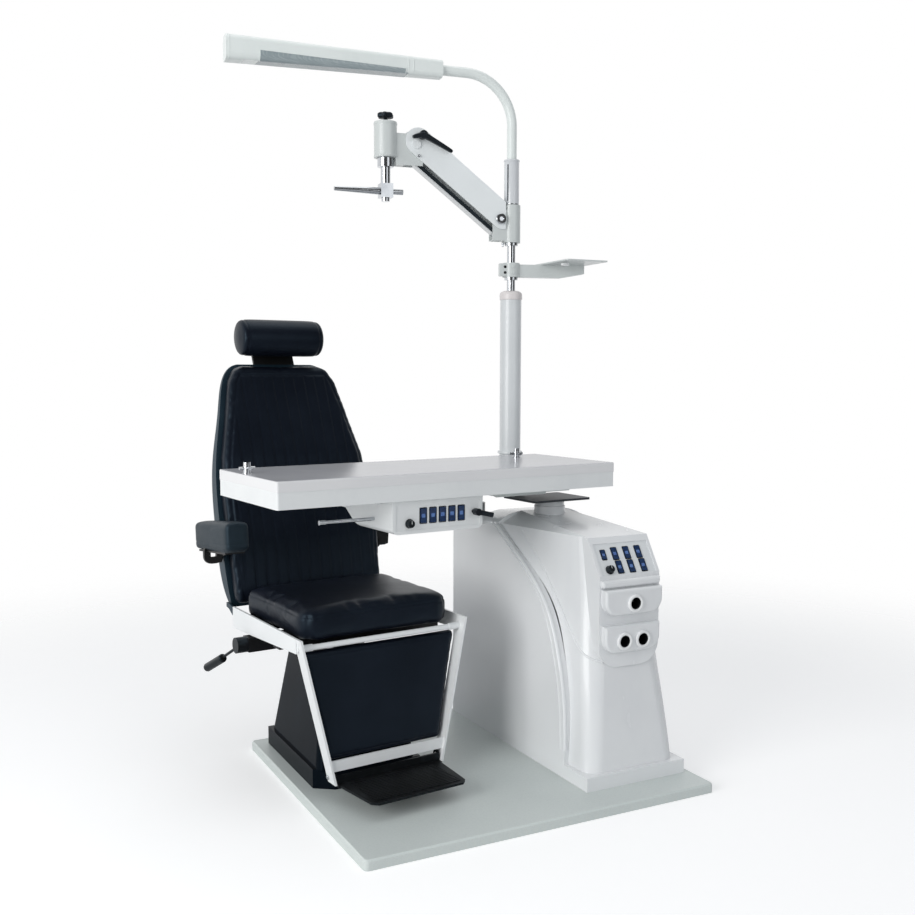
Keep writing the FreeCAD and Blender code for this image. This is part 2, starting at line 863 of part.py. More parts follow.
def shell_section(index):
    """A closed outline of the shell behind the cushion, with round rear corners."""
    level = back_levels[index]
    half = back_halves[index]
    front = back_fronts[index] + back_pad_thickness
    rear = back_rears[index]
    side = min(back_side_round, rear - front - edge_round)
    turn = side * (1 - math.sqrt(0.5))
    edges = [
        Part.LineSegment(Vector(-half, front, level), Vector(half, front, level)),
        Part.LineSegment(Vector(half, front, level), Vector(half, rear - side, level)),
        Part.Arc(Vector(half, rear - side, level), Vector(half - turn, rear - turn, level),
                 Vector(half - side, rear, level)),
        Part.LineSegment(Vector(half - side, rear, level), Vector(-half + side, rear, level)),
        Part.Arc(Vector(-half + side, rear, level), Vector(-half + turn, rear - turn, level),
                 Vector(-half, rear - side, level)),
        Part.LineSegment(Vector(-half, rear - side, level), Vector(-half, front, level)),
    ]
    return Part.Wire([edge.toShape() for edge in edges])


def stem_frame():
    """The point and the direction in which the headrest stem slides, along the upper back."""
    low = Vector(0, back_fronts[5] + back_pad_thickness, back_levels[5])
    high = Vector(0, back_fronts[8] + back_pad_thickness, back_levels[8])
    line = (high - low).normalize()
    normal = Vector(0, line.z, -line.y)
    return high, line, normal


def stem_bar(extra, above, below):
    """The flat stem as a block lying behind the cushion's back face."""
    top, line, normal = stem_frame()
    start = top - line * below + normal * (free_gap - extra)
    half = stem_width / 2 + extra
    across = Vector(1, 0, 0)
    corners = [start - across * half, start + across * half,
               start + across * half + normal * (stem_thickness + 2 * extra),
               start - across * half + normal * (stem_thickness + 2 * extra)]
    wire = Part.makePolygon(corners + [corners[0]])
    return Part.Face(wire).extrude(line * (above + below))


def make_back():
    last = len(back_levels)
    cushion = loft([back_section(index, edge_round, back_fronts[index],
                                 back_fronts[index] + back_pad_thickness - seat_gap, back_channel_crown)
                    for index in range(last)])
    shell = loft([shell_section(index) for index in range(last)])
    shell = shell.cut(stem_bar(guide_gap, stem_travel, stem_depth + overrun))
    cushion = cushion.cut(stem_bar(guide_gap, stem_travel, stem_depth + overrun))
    lug_x = frame_half - strap_thickness - seat_gap * 2
    pieces = [shell]
    shell_low = back_levels[0]
    shell_front = back_fronts[0] + back_pad_thickness
    for side in (-1, 1):
        x0, x1 = sorted((side * lug_x, side * (lug_x - recline_lug_thickness)))
        eye = rod((x0, recline_back, recline_level), (x1, recline_back, recline_level), recline_lug_radius)
        arm = side_prism(((recline_back, recline_level - recline_lug_radius),
                          (shell_front, shell_low - recline_lug_radius / 2), (back_rears[0] - back_side_round,
                                                                             shell_low - recline_lug_radius / 3),
                          (back_rears[0] - back_side_round, shell_low + recline_lug_radius / 3),
                          (shell_front, shell_low + recline_lug_radius / 3),
                          (recline_back, recline_level + recline_lug_radius)), x0, x1)
        foot = box(min(x0, side * back_halves[0] / 2), max(x1, side * back_halves[0] / 2),
                   shell_front, back_rears[0] - back_side_round, shell_low - recline_lug_radius / 3, shell_low)
        pieces += [eye, arm, foot]
    shell = fused(*pieces)
    for side in (-1, 1):
        shell = shell.cut(rod((side * (lug_x + overrun), recline_back, recline_level),
                              (side * (lug_x - recline_lug_thickness - overrun), recline_back, recline_level),
                              recline_pin_radius + running_gap))
        bore_x = side * (armrest_inner - armrest_strap)
        shell = shell.cut(rod((bore_x, armrest_pivot_back, armrest_pivot_level),
                              (bore_x - side * (armrest_pin_depth * 2), armrest_pivot_back, armrest_pivot_level),
                              armrest_pin_radius + running_gap))
        cushion = cushion.cut(rod((bore_x, armrest_pivot_back, armrest_pivot_level),
                                  (bore_x - side * (armrest_pin_depth * 2), armrest_pivot_back,
                                   armrest_pivot_level), armrest_lug_radius))
    write("back_shell", in_chair(shell))
    write("back_cushion", in_chair(cushion))


# Headrest

def oval_wire(x, centre_y, centre_z, deep, high):
    """Four arcs through the ends of an oval's axes."""
    points = []
    for step in range(8):
        angle = math.pi / 4 * step
        points.append(Vector(x, centre_y + deep * math.cos(angle), centre_z + high * math.sin(angle)))
    edges = []
    for step in range(0, 8, 2):
        edges.append(Part.Arc(points[step], points[step + 1], points[(step + 2) % 8]).toShape())
    return Part.Wire(edges)


def headrest_pivot():
    """The middle of the stem's cross tube, about which the roll tilts."""
    return Vector(0, stem_tube_back, stem_tube_level)


def neck_bar(half, near, far, reach):
    """A flat bar from the tube towards the top of the stem, with a half thickness at either end."""
    top, line, normal = stem_frame()
    end = top + line * stem_rise + normal * (free_gap + stem_thickness / 2)
    centre = headrest_pivot()
    along = (end - centre).normalize()
    side = Vector(0, -along.z, along.y)
    far_end = centre + along * reach if reach else end
    points = [centre + side * near, far_end + side * far, far_end - side * far, centre - side * near]
    return side_prism([(point.y, point.z) for point in points], -half, half)


def make_headrest():
    wires = []
    for place, girth in zip(headrest_end_shares, headrest_girth_shares):
        x = -headrest_half + 2 * headrest_half * place
        wires.append(oval_wire(x, headrest_back, headrest_level, headrest_deep * girth, headrest_high * girth))
    roll = swung(loft(wires), (0, headrest_back, headrest_level), X_AXIS, -headrest_tilt)
    centre = headrest_pivot()
    half = stem_thickness / 2
    tube = rod((-stem_tube_half, centre.y, centre.z), (stem_tube_half, centre.y, centre.z), stem_tube_radius)
    top, line, normal = stem_frame()
    elbow = top + line * stem_rise + normal * (free_gap + half)
    joint = rod((-stem_width / 2, elbow.y, elbow.z), (stem_width / 2, elbow.y, elbow.z), half)
    stem = fused(stem_bar(0, stem_rise, stem_depth), joint, neck_bar(stem_width / 2, half, half, 0), tube)
    tunnel = rod((-stem_tube_half - free_gap, centre.y, centre.z), (stem_tube_half + free_gap, centre.y, centre.z),
                 stem_tube_radius + seat_gap)
    reach = 2 * headrest_high
    swing = reach * math.tan(math.radians(headrest_tilt))
    pocket = neck_bar(stem_width / 2 + free_gap, half + free_gap, half + free_gap + swing, reach)
    roll = roll.cut(tunnel).cut(pocket)
    write("headrest_roll", in_chair(max(roll.Solids, key=lambda solid: solid.Volume)))
    write("headrest_stem", in_chair(stem))


# Armrests

def armrest_pieces():
    """Pad and bracket on the right side, level, with the pivot at its real place."""
    x0 = armrest_inner
    x1 = armrest_inner + armrest_width
    rear = armrest_pivot_back + armrest_rear_reach
    front = rear - armrest_length
    low = armrest_pivot_level + armrest_pad_lift
    high_rear = low + armrest_rear_height
    high_front = low + armrest_front_height
    pad = side_prism(((rear, low), (rear, high_rear), (front, high_front), (front, low + armrest_front_round),
                      (front + armrest_front_round, low)), x0, x1)
    tops = [edge for edge in pad.Edges if edge.CenterOfMass.z > low + armrest_rear_height / 3
            and spread(edge)[2] < armrest_rear_height / 2]
    pad = pad.makeFillet(armrest_edge, tops)
    strap_low = low - seat_gap - armrest_strap
    rail = box(x0 + free_gap, x1 - armrest_edge, front + 2 * armrest_front_round, rear - armrest_edge,
               strap_low, strap_low + armrest_strap)
    plate_x = x0 + free_gap
    plate = side_prism(((armrest_pivot_back - armrest_lug_radius, armrest_pivot_level),
                        (armrest_pivot_back + armrest_lug_radius, armrest_pivot_level),
                        (rear - armrest_edge, strap_low + armrest_strap),
                        (rear - armrest_length / 2, strap_low + armrest_strap),
                        (rear - armrest_length / 2, strap_low)), plate_x, plate_x + armrest_strap)
    eye = rod((plate_x, armrest_pivot_back, armrest_pivot_level),
              (plate_x + armrest_strap, armrest_pivot_back, armrest_pivot_level), armrest_lug_radius)
    pin = rod((plate_x + armrest_strap + armrest_strap, armrest_pivot_back, armrest_pivot_level),
              (plate_x - armrest_pin_depth, armrest_pivot_back, armrest_pivot_level), armrest_pin_radius)
    return pad, fused(rail, plate, eye, pin)


def make_armrests():
    pad, bracket = armrest_pieces()
    pivot = (0, armrest_pivot_back, armrest_pivot_level)
    for name, side, rise in (("left", -1, armrest_left_rise), ("right", 1, armrest_right_rise)):
        for kind, shape in (("pad", pad), ("bracket", bracket)):
            piece = mirrored(shape) if side < 0 else shape
            write("armrest_" + name + "_" + kind, in_chair(swung(piece, pivot, X_AXIS, -rise)))


# Cabinet

def sweep_edge():
    """The curve of the side shell's front edge, from the foot to the roof."""
    curve = Part.BSplineCurve()
    curve.interpolate([Vector(0, y, z) for y, z in sweep_points])
    return curve.toShape()


def shell_region(inset, foot, half, forward=0.0):
    """The side shell's side outline carried across its width; the front may be moved forward."""
    sweep = sweep_edge()
    sweep.translate(Vector(0, forward, 0))
    low = Vector(0, sweep_points[0][0] + forward, sweep_points[0][1])
    high = Vector(0, sweep_points[-1][0] + forward, sweep_points[-1][1])
    points = [high, Vector(0, high.y + inset, eave_front - inset), Vector(0, roof_middle, eave_middle - inset),
              Vector(0, cabinet_back - inset, eave_back - inset), Vector(0, cabinet_back - inset, foot)]
    nose = cabinet_front + inset
    step = deck + cabinet_foot_height - inset
    points += [Vector(0, nose, foot), Vector(0, nose, step), Vector(0, low.y, step), low]
    kept = [points[0]]
    for point in points[1:]:
        if (point - kept[-1]).Length > edge_round / 100:
            kept.append(point)
    edges = [sweep] + [Part.LineSegment(a, b).toShape() for a, b in zip(kept, kept[1:])]
    face = Part.Face(Part.Wire(Part.__sortEdges__(edges)))
    region = face.extrude(Vector(2 * half, 0, 0))
    region.translate(Vector(-half, 0, 0))
    return region


def roof_section(y, eave, half, top, inset):
    wall = cabinet_half - inset
    eave_level = eave - inset
    crown = top - inset
    ridge = half
    lean = Vector((wall + ridge) / 2 + (wall - ridge) / 14, y, (eave_level + crown) / 2 + (crown - eave_level) / 7)
    right = Part.Arc(Vector(wall, y, eave_level), lean, Vector(ridge, y, crown)).toShape()
    left = Part.Arc(Vector(-ridge, y, crown), Vector(-lean.x, y, lean.z), Vector(-wall, y, eave_level)).toShape()
    return Part.Wire([Part.LineSegment(Vector(-wall, y, eave_level), Vector(wall, y, eave_level)).toShape(), right,
                      Part.LineSegment(Vector(ridge, y, crown), Vector(-ridge, y, crown)).toShape(), left])


def roof_form(inset, front):
    """The cap of the side shell, from the back to the place where the cowl starts."""
    return loft([roof_section(cabinet_back - inset, eave_back, roof_half_back, roof_back, inset),
                 roof_section(roof_middle, eave_middle, roof_half_middle, roof_middle_top, inset),
                 roof_section(front, eave_front, roof_half_front, roof_front, inset)], True)


def make_cabinet_shell():
    front = sweep_points[-1][0]
    outer = fused(shell_region(0, deck, cabinet_half), roof_form(0, front))
    hollow = shell_region(sheet, deck - overrun, cabinet_half - sheet)
    hollow = hollow.cut(shell_region(0, deck - 2 * overrun, cabinet_half).cut(
        shell_region(0, deck - 2 * overrun, cabinet_half + overrun, sheet)))
    shell = outer.cut(hollow)
    shell = shell.cut(shell_region(sheet, deck - overrun, cabinet_half - rim_width, -rim_width))
    shell = shell.cut(roof_form(sheet, front + sheet))
    shell = shell.cut(box(-roof_half_front, roof_half_front, front - overrun, front + 2 * sheet,
                          eave_front - 2 * rim_width, roof_front - sheet))
    sill_y = sweep_points[0][0]
    sill_z = deck + cabinet_foot_height
    sill = box(-cabinet_half + sheet / 2, cabinet_half - sheet / 2, sill_y - sheet, sill_y + sheet, sill_z - sheet,
               sill_z)
    shell = fused(shell, sill)
    x, y = column_x - cabinet_x, column_y
    shell = shell.cut(post(x, y, eave_back - rim_width, roof_front, column_outer_radius + free_gap))
    write("cabinet_shell", turned(shell, 0, cabinet_x, 0))


def cowl_section(level, back, front, half, inset):
    """A plan section: straight back, sides that draw in to a narrower round-cornered front."""
    wide = cabinet_half - cabinet_step - inset
    narrow = half - inset
    edge = front + inset
    corner = min(cowl_corner, narrow / 2)
    slope = Vector(wide - narrow, back - edge, 0).normalize()
    side_point = Vector(narrow, edge, level) + slope * corner
    front_point = Vector(narrow - corner, edge, level)
    chord = (side_point + front_point) / 2
    middle = chord + (Vector(narrow, edge, level) - chord) * cowl_corner_share
    side_left, middle_left, front_left = [Vector(-point.x, point.y, point.z)
                                          for point in (side_point, middle, front_point)]
    edges = [Part.LineSegment(Vector(-wide, back, level), Vector(wide, back, level)),
             Part.LineSegment(Vector(wide, back, level), side_point),
             Part.Arc(side_point, middle, front_point),
             Part.LineSegment(front_point, front_left),
             Part.Arc(front_left, middle_left, side_left),
             Part.LineSegment(side_left, Vector(-wide, back, level))]
    return Part.Wire([edge_line.toShape() for edge_line in edges])


def front_outline(half, low, high, corner, back, front):
    """A block seen from the front with round lower corners, carried from back to front."""
    turn = corner * (1 - math.sqrt(0.5))
    edges = [
        Part.LineSegment(Vector(-half, front, high), Vector(-half, front, low + corner)),
        Part.Arc(Vector(-half, front, low + corner), Vector(-half + turn, front, low + turn),
                 Vector(-half + corner, front, low)),
        Part.LineSegment(Vector(-half + corner, front, low), Vector(half - corner, front, low)),
        Part.Arc(Vector(half - corner, front, low), Vector(half - turn, front, low + turn),
                 Vector(half, front, low + corner)),
        Part.LineSegment(Vector(half, front, low + corner), Vector(half, front, high)),
        Part.LineSegment(Vector(half, front, high), Vector(-half, front, high)),
    ]
    wire = Part.Wire([edge.toShape() for edge in edges])
    return Part.Face(wire).extrude(Vector(0, back - front, 0))


def cowl_form(inset, low):
    wires = []
    for index, level in enumerate(cowl_levels):
        wires.append(cowl_section(low if index == 0 else level, cowl_backs[index], cowl_fronts[index],
                                  cowl_halves[index], inset))
    body = loft(wires)
    head = front_outline(head_half - inset, head_low + inset, cowl_levels[-1], head_low_corner,
                         head_back, head_front + inset)
    return fused(body, head)


def cowl_trim(inset):
    """What lies above the roof line, in front of the console slope and over the shoulders."""
    far = cowl_levels[-1] + cabinet_half
    back = cabinet_back
    rise = (roof_front - head_crease_z) / (sweep_points[-1][0] - head_crease_y)
    roof_end = head_crease_z + rise * (back - head_crease_y)
    over = side_prism(((back, roof_end - inset), (head_crease_y, head_crease_z - inset),
                       (slope_foot_y + inset, slope_foot_z), (cabinet_front - overrun, slope_foot_z),
                       (cabinet_front - overrun, far), (back, far)), -cabinet_half, cabinet_half)
    pieces = [over]
    shoulder = ((roof_half_front, sweep_points[-1][0], roof_front - inset),
                (head_half, head_crease_y, head_crease_z - inset))
    drop = (roof_front - eave_front) / (cabinet_half - cabinet_step - roof_half_front)
    for side in (-1, 1):
        (xa, ya, za), (xb, yb, zb) = shoulder
        along = Vector(xb - xa, yb - ya, zb - za)
        near = Vector(xa, ya, za) - along
        end = Vector(xb, yb, zb)
        out = cabinet_half
        section = [near, near + Vector(out, 0, -drop * out), near + Vector(out, 0, far), near + Vector(0, 0, far)]
        wire = Part.makePolygon(section + [section[0]])
        wedge = Part.Face(wire).extrude(end - near)
        pieces.append(wedge if side > 0 else mirrored(wedge))
    return pieces


def on_slope(shape):
    """Put a shape drawn flat, x right and y up the slope, on the console slope."""
    lift = math.degrees(math.atan2(head_crease_z - slope_foot_z, head_crease_y - slope_foot_y))
    copy = shape.copy()
    copy.Placement = Placement(Vector(cabinet_x, head_crease_y, head_crease_z),
                               Rotation(X_AXIS, lift)).multiply(copy.Placement)
    return copy


def holder_places():
    return [(offset, pod_fronts[0 if index == 0 else 1], level)
            for index, (offset, level) in enumerate(zip(holder_offsets, holder_levels))]


def make_cowl():
    foot = deck + cabinet_foot_height
    cowl = cowl_form(0, foot)
    for cutter in cowl_trim(0):
        cowl = cowl.cut(cutter)
    ledge = front_outline(ledge_half, ledge_low, slope_foot_z, ledge_round, head_back, ledge_front)
    ledge = rounded(ledge, ledge_round, lambda edge: edge.CenterOfMass.y < ledge_front + edge_round
                    and spread(edge)[0] > ledge_half)
    pieces = [cowl, ledge]
    for half, low, high, front in zip(pod_halves, pod_lows, pod_tops, pod_fronts):
        pod = front_outline(half, low, high, pod_corner, head_back, front)
        pod = rounded(pod, pod_round, lambda edge: abs(edge.CenterOfMass.y - front) < edge_round)
        pieces.append(pod)
    cowl = fused(*pieces)
    hollow = cowl_form(sheet, foot - overrun)
    for cutter in cowl_trim(sheet):
        hollow = hollow.cut(cutter)
    cowl = cowl.cut(hollow)
    cowl = cowl.cut(fused(shell_region(0, deck - overrun, cabinet_half + overrun),
                          box(-cabinet_half, cabinet_half, sweep_points[-1][0], cabinet_back,
                              deck, roof_front + cabinet_half)))
    for offset, front, level in holder_places():
        cowl = cowl.cut(rod((offset, front - overrun, level), (offset, front + holder_depth, level),
                            holder_bore_radius))
    cowl = turned(max(cowl.Solids, key=lambda solid: solid.Volume), 0, cabinet_x, 0)
    window = box(-panel_half, panel_half, -panel_end, -panel_start, -panel_recess - panel_thickness, overrun)
    inner = box(-panel_half + sheet, panel_half - sheet, -panel_end + sheet, -panel_start - sheet,
                -rim_width, overrun)
    cowl = cowl.cut(on_slope(window)).cut(on_slope(inner))
    turret = post(turret_x, turret_y, roof_front - rim_width, turret_top, turret_radius)
    turret = turret.cut(cabinet_roof_filler())
    bore = post(turret_x, turret_y, turret_top - small_tray_pin_depth - overrun, turret_top + overrun,
                small_tray_pin_radius + running_gap)
    cowl = fused(cowl, turret).cut(bore)
    write("cabinet_cowl", max(cowl.Solids, key=lambda solid: solid.Volume))


def cabinet_roof_filler():
    """The room under the cowl's roof and behind its end, which the turret stays out of."""
    rise = (roof_front - head_crease_z) / (sweep_points[-1][0] - head_crease_y)
    middle = head_crease_z - sheet / 2 - rise * head_crease_y
    return side_prism(((cabinet_front, middle + rise * cabinet_front), (cabinet_back, middle + rise * cabinet_back),
                       (cabinet_back, deck), (cabinet_front, deck)),
                      cabinet_x - cabinet_half, cabinet_x + cabinet_half)


def rocker_form(width, height):
    """A rocker drawn flat: two slopes that meet in a shallow dip."""
    half = height / 2
    return prism(((-width / 2, -half, -rocker_depth), (-width / 2, half, -rocker_depth),
                  (-width / 2, half, rocker_proud), (-width / 2, 0, rocker_proud - rocker_dip),
                  (-width / 2, -half, rocker_proud)), (width, 0, 0))


def knob_form():
    """A fluted knob drawn upright on its stem."""
    body = post(0, 0, 0, knob_height, knob_radius)
    for index in range(knob_flutes):
        angle = 2 * math.pi * index / knob_flutes
        body = body.cut(post(knob_radius * math.cos(angle), knob_radius * math.sin(angle), sheet,
                             knob_height + overrun, knob_flute_radius))
    return fused(body, post(0, 0, -rocker_depth, 0, knob_stem_radius))


def console_rocker_size(index):
    if index == 0:
        return small_rocker_width, small_rocker_height
    return rocker_width, rocker_height


def make_console():
    face = -panel_recess
    panel = box(-panel_half, panel_half, -panel_end, -panel_start, face - panel_thickness, face)
    for index, (x, s) in enumerate(zip(console_rocker_x, console_rocker_s)):
        width, height = console_rocker_size(index)
        rocker = rocker_form(width, height)
        rocker.translate(Vector(x, -s, face))
        write("console_rocker_" + str(index + 1), on_slope(rocker))
        panel = panel.cut(box(x - width / 2 - rocker_gap, x + width / 2 + rocker_gap,
                              -s - height / 2 - rocker_gap, -s + height / 2 + rocker_gap,
                              face - overrun, face + overrun))
    panel = panel.cut(post(console_knob_x, -console_knob_s, face - overrun, face + overrun,
                           knob_stem_radius + running_gap))
    write("console_panel", on_slope(panel))
    knob = knob_form()
    knob.translate(Vector(console_knob_x, -console_knob_s, face + seat_gap))
    write("console_knob", on_slope(knob))


def make_holders():
    """White collars with black cups behind them, one above two."""
    rings = []
    for offset, front, level in holder_places():
        x = cabinet_x + offset
        collar = rod((x, front, level), (x, front - holder_ring_proud, level), holder_ring_radius)
        cup = rod((x, front, level), (x, front + holder_depth, level), holder_bore_radius)
        bore = holder_bore_radius - sheet / 2
        ring = fused(collar, cup).cut(rod((x, front - holder_ring_proud - overrun, level),
                                          (x, front + holder_depth - sheet, level), bore))
        rings.append(ring)
    write("holder_rings", *rings)


def make_small_tray():
    low = turret_top + seat_gap
    plate = rounded_block(-small_tray_length / 2, small_tray_length / 2, small_tray_back - small_tray_depth / 2,
                          small_tray_back + small_tray_depth / 2, low, low + small_tray_thickness,
                          small_tray_corner)
    pin = post(0, 0, low - small_tray_pin_depth, low, small_tray_pin_radius)
    write("small_tray", turned(fused(plate, pin), small_tray_turn, turret_x, turret_y))


def make_power_unit():
    block = box(cabinet_x - power_half_x, cabinet_x + power_half_x, power_y - power_half_y,
                power_y + power_half_y, deck, deck + power_height)
    upper = box(cabinet_x - power_half_x / 2, cabinet_x + power_half_x / 2, power_y - power_half_y / 2,
                power_y + power_half_y / 2, deck + power_height, deck + power_height + power_cap_height)
    write("power_unit", block, upper)


# Table column and the arm that carries the table and the pole

def make_table_column():
    outer = post(column_x, column_y, deck, column_outer_top, column_outer_radius)
    outer = outer.cut(post(column_x, column_y, deck + flange_thickness, column_outer_top + overrun,
                           column_inner_radius + running_gap))
    flange = box(column_x - column_outer_radius, column_x + 2 * column_outer_radius,
                 column_y - 2 * column_outer_radius, column_y + column_outer_radius, deck, deck + flange_thickness)
    write("table_column_outer", fused(outer, flange))
    inner = fused(post(column_x, column_y, column_inner_foot, arm_low - seat_gap, column_inner_radius),
                  post(column_x, column_y, arm_low - seat_gap, arm_low + column_spigot_height,
                       column_spigot_radius))
    write("table_column_inner", inner)


def to_table(x, y):
    """A place in plan, in the table's own frame."""
    angle = math.radians(table_turn)
    dx, dy = x - table_x, y - table_y
    return dx * math.cos(angle) + dy * math.sin(angle), dy * math.cos(angle) - dx * math.sin(angle)


def make_table_arm():
    hub_u, hub_v = to_table(column_x, column_y)
    pole_u, pole_v = to_table(pole_x, pole_y)
    top = table_bottom - seat_gap
    plate_low = top - flange_thickness
    plate = box(arm_plate_left, arm_plate_right, arm_plate_front, arm_plate_back, plate_low, top)
    web = plan_prism(((arm_plate_left + arm_hub_radius, arm_plate_front + arm_hub_radius),
                      (arm_plate_right - arm_hub_radius, arm_plate_front + arm_hub_radius),
                      (pole_u + arm_web_reach, pole_v), (hub_u, hub_v + arm_web_shoulder),
                      (hub_u - arm_web_left, hub_v)), arm_low + flange_thickness, plate_low)
    hub = post(hub_u, hub_v, arm_low, top, arm_hub_radius)
    boss = post(pole_u, pole_v, arm_low, top, arm_hub_radius - sheet)
    tie = plan_prism(((hub_u - arm_web_left, hub_v), (hub_u, hub_v + arm_web_shoulder),
                      (pole_u + arm_web_reach, pole_v), (arm_plate_right - arm_hub_radius, arm_plate_back),
                      (arm_plate_left + arm_hub_radius, arm_plate_back)), plate_low, top)
    arm = fused(plate, web, hub, boss, tie)
    arm = arm.cut(post(hub_u, hub_v, arm_low - overrun, arm_low + column_spigot_height + free_gap,
                       column_spigot_radius + running_gap))
    arm = arm.cut(post(pole_u, pole_v, top - pole_cap_height, top + overrun, pole_outer_radius))
    write("table_arm", in_table(arm))


def make_table():
    split = table_top - board_thickness
    board = rounded_block(0, table_length, 0, table_depth, split, table_top, table_corner)
    board = rounded(board, edge_round, lambda edge: abs(edge.CenterOfMass.z - table_top) < edge_round / 2)
    write("table_board", in_table(board))
    inset = edge_round / 3
    skirt = rounded_block(inset, table_length - inset, inset, table_depth - inset, table_bottom, split,
                          table_corner)
    skirt = skirt.cut(box(skirt_wall, table_length - skirt_wall, skirt_wall, table_depth - skirt_wall,
                          table_bottom + table_pan, split + overrun))
    rail = box(rail_left, rail_right, rail_front, rail_front + rail_width, table_bottom - rail_height,
               table_bottom)
    rail = rail.cut(box(rail_left + rail_height, rail_right - rail_height, rail_front - overrun,
                        rail_front + rail_width + overrun, table_bottom - rail_height - overrun,
                        table_bottom - rail_height / 2))
    write("table_skirt", in_table(fused(skirt, rail)))
    posts = []
    for u, v in post_places:
        top = table_top + post_height
        base = post(u, v, table_top, table_top + post_base_height, post_base_radius)
        stem = post(u, v, table_top, top, post_radius)
        level = table_top + post_bar_level
        bar_u = rod((u - post_bar_half, v, level), (u + post_bar_half, v, level), post_bar_radius)
        bar_v = rod((u, v - post_bar_half, level), (u, v + post_bar_half, level), post_bar_radius)
        posts.append(in_table(fused(base, stem, bar_u, bar_v)))
    write("table_posts", *posts)


def on_box(shape):
    """Put a shape drawn flat, x right and y up, on the front of the switch box, in the table's frame."""
    copy = shape.copy()
    copy.Placement = Placement(Vector(0, box_front, 0), Rotation(X_AXIS, 90)).multiply(copy.Placement)
    return copy


def make_switch_box():
    top = table_bottom - seat_gap
    outline = ((box_front, box_low), (box_front, top), (box_front + box_depth_top, top),
               (box_front + box_depth_top, top - box_corner), (box_front + box_depth_low, box_low))
    shell = side_prism(outline, box_left, box_right)
    low_edges = [edge for edge in shell.Edges if edge.CenterOfMass.z < box_low + edge_round
                 and spread(edge)[1] > box_depth_low / 2]
    shell = shell.makeFillet(box_corner, low_edges)
    wall = sheet
    hollow = side_prism(((box_front + wall, box_low + wall), (box_front + wall, top + overrun),
                         (box_front + box_depth_top - 2 * box_corner, top + overrun),
                         (box_front + box_depth_low - wall, box_low + wall)),
                        box_left + box_corner, box_right - box_corner)
    shell = shell.cut(hollow)
    margin = table_panel_margin
    shell = shell.cut(box(box_left + margin, box_right - margin, box_front - overrun, box_front + panel_recess,
                          box_low + margin, top - margin))
    shell = shell.cut(arm_room())
    for x in table_rocker_x:
        half_x, half_z = table_rocker_width / 2 + rocker_gap, table_rocker_height / 2 + rocker_gap
        shell = shell.cut(box(x - half_x, x + half_x, box_front - overrun, box_front + rim_width,
                              table_rocker_level - half_z, table_rocker_level + half_z))
    stem = knob_stem_radius + running_gap
    shell = shell.cut(rod((table_knob_x, box_front - overrun, table_knob_level),
                          (table_knob_x, box_front + rim_width, table_knob_level), stem))
    shell = shell.cut(rod((brake_x, box_front - overrun, brake_level),
                          (brake_x, box_front + rim_width, brake_level), brake_rod_radius + running_gap))
    shell = shell.cut(rod((box_left - overrun, rod_back, rod_level), (box_left + 2 * box_corner, rod_back,
                                                                      rod_level), rod_radius + running_gap))
    write("switch_box", in_table(max(shell.Solids, key=lambda solid: solid.Volume)))
    for index, x in enumerate(table_rocker_x):
        rocker = rocker_form(table_rocker_width, table_rocker_height)
        rocker.translate(Vector(x, table_rocker_level, -panel_recess))
        write("table_rocker_" + str(index + 1), in_table(on_box(rocker)))
    knob = knob_form()
    knob.translate(Vector(table_knob_x, table_knob_level, -panel_recess + seat_gap))
    write("table_knob", in_table(on_box(knob)))
    front = box_front + panel_recess
    stick = rod((brake_x, front + rocker_depth, brake_level), (brake_x, front - brake_radius * 2, brake_level),
                brake_rod_radius)
    ball = rod((brake_x, front - brake_radius, brake_level), (brake_x, front - brake_radius * 3, brake_level),
               brake_radius)
    handle_end = (brake_x + brake_length, front - brake_radius * 3, brake_level - brake_drop)
    handle = rod((brake_x, front - brake_radius * 2, brake_level), handle_end, brake_handle_radius)
    write("brake_lever", in_table(fused(stick, ball, handle)))
    release = rod((box_left + rod_depth, rod_back, rod_level), (box_left - rod_reach, rod_back, rod_level),
                  rod_radius)
    button = rod((box_left - rod_reach, rod_back, rod_level),
                 (box_left - rod_reach - rod_tip_length, rod_back, rod_level), rod_tip_radius)
    write("release_rod", in_table(fused(release, button)))


def arm_room():
    """The space the switch box leaves for the table arm."""
    return box(arm_plate_left - free_gap, arm_plate_right, arm_plate_front, arm_plate_back, arm_low, table_top)


# Pole

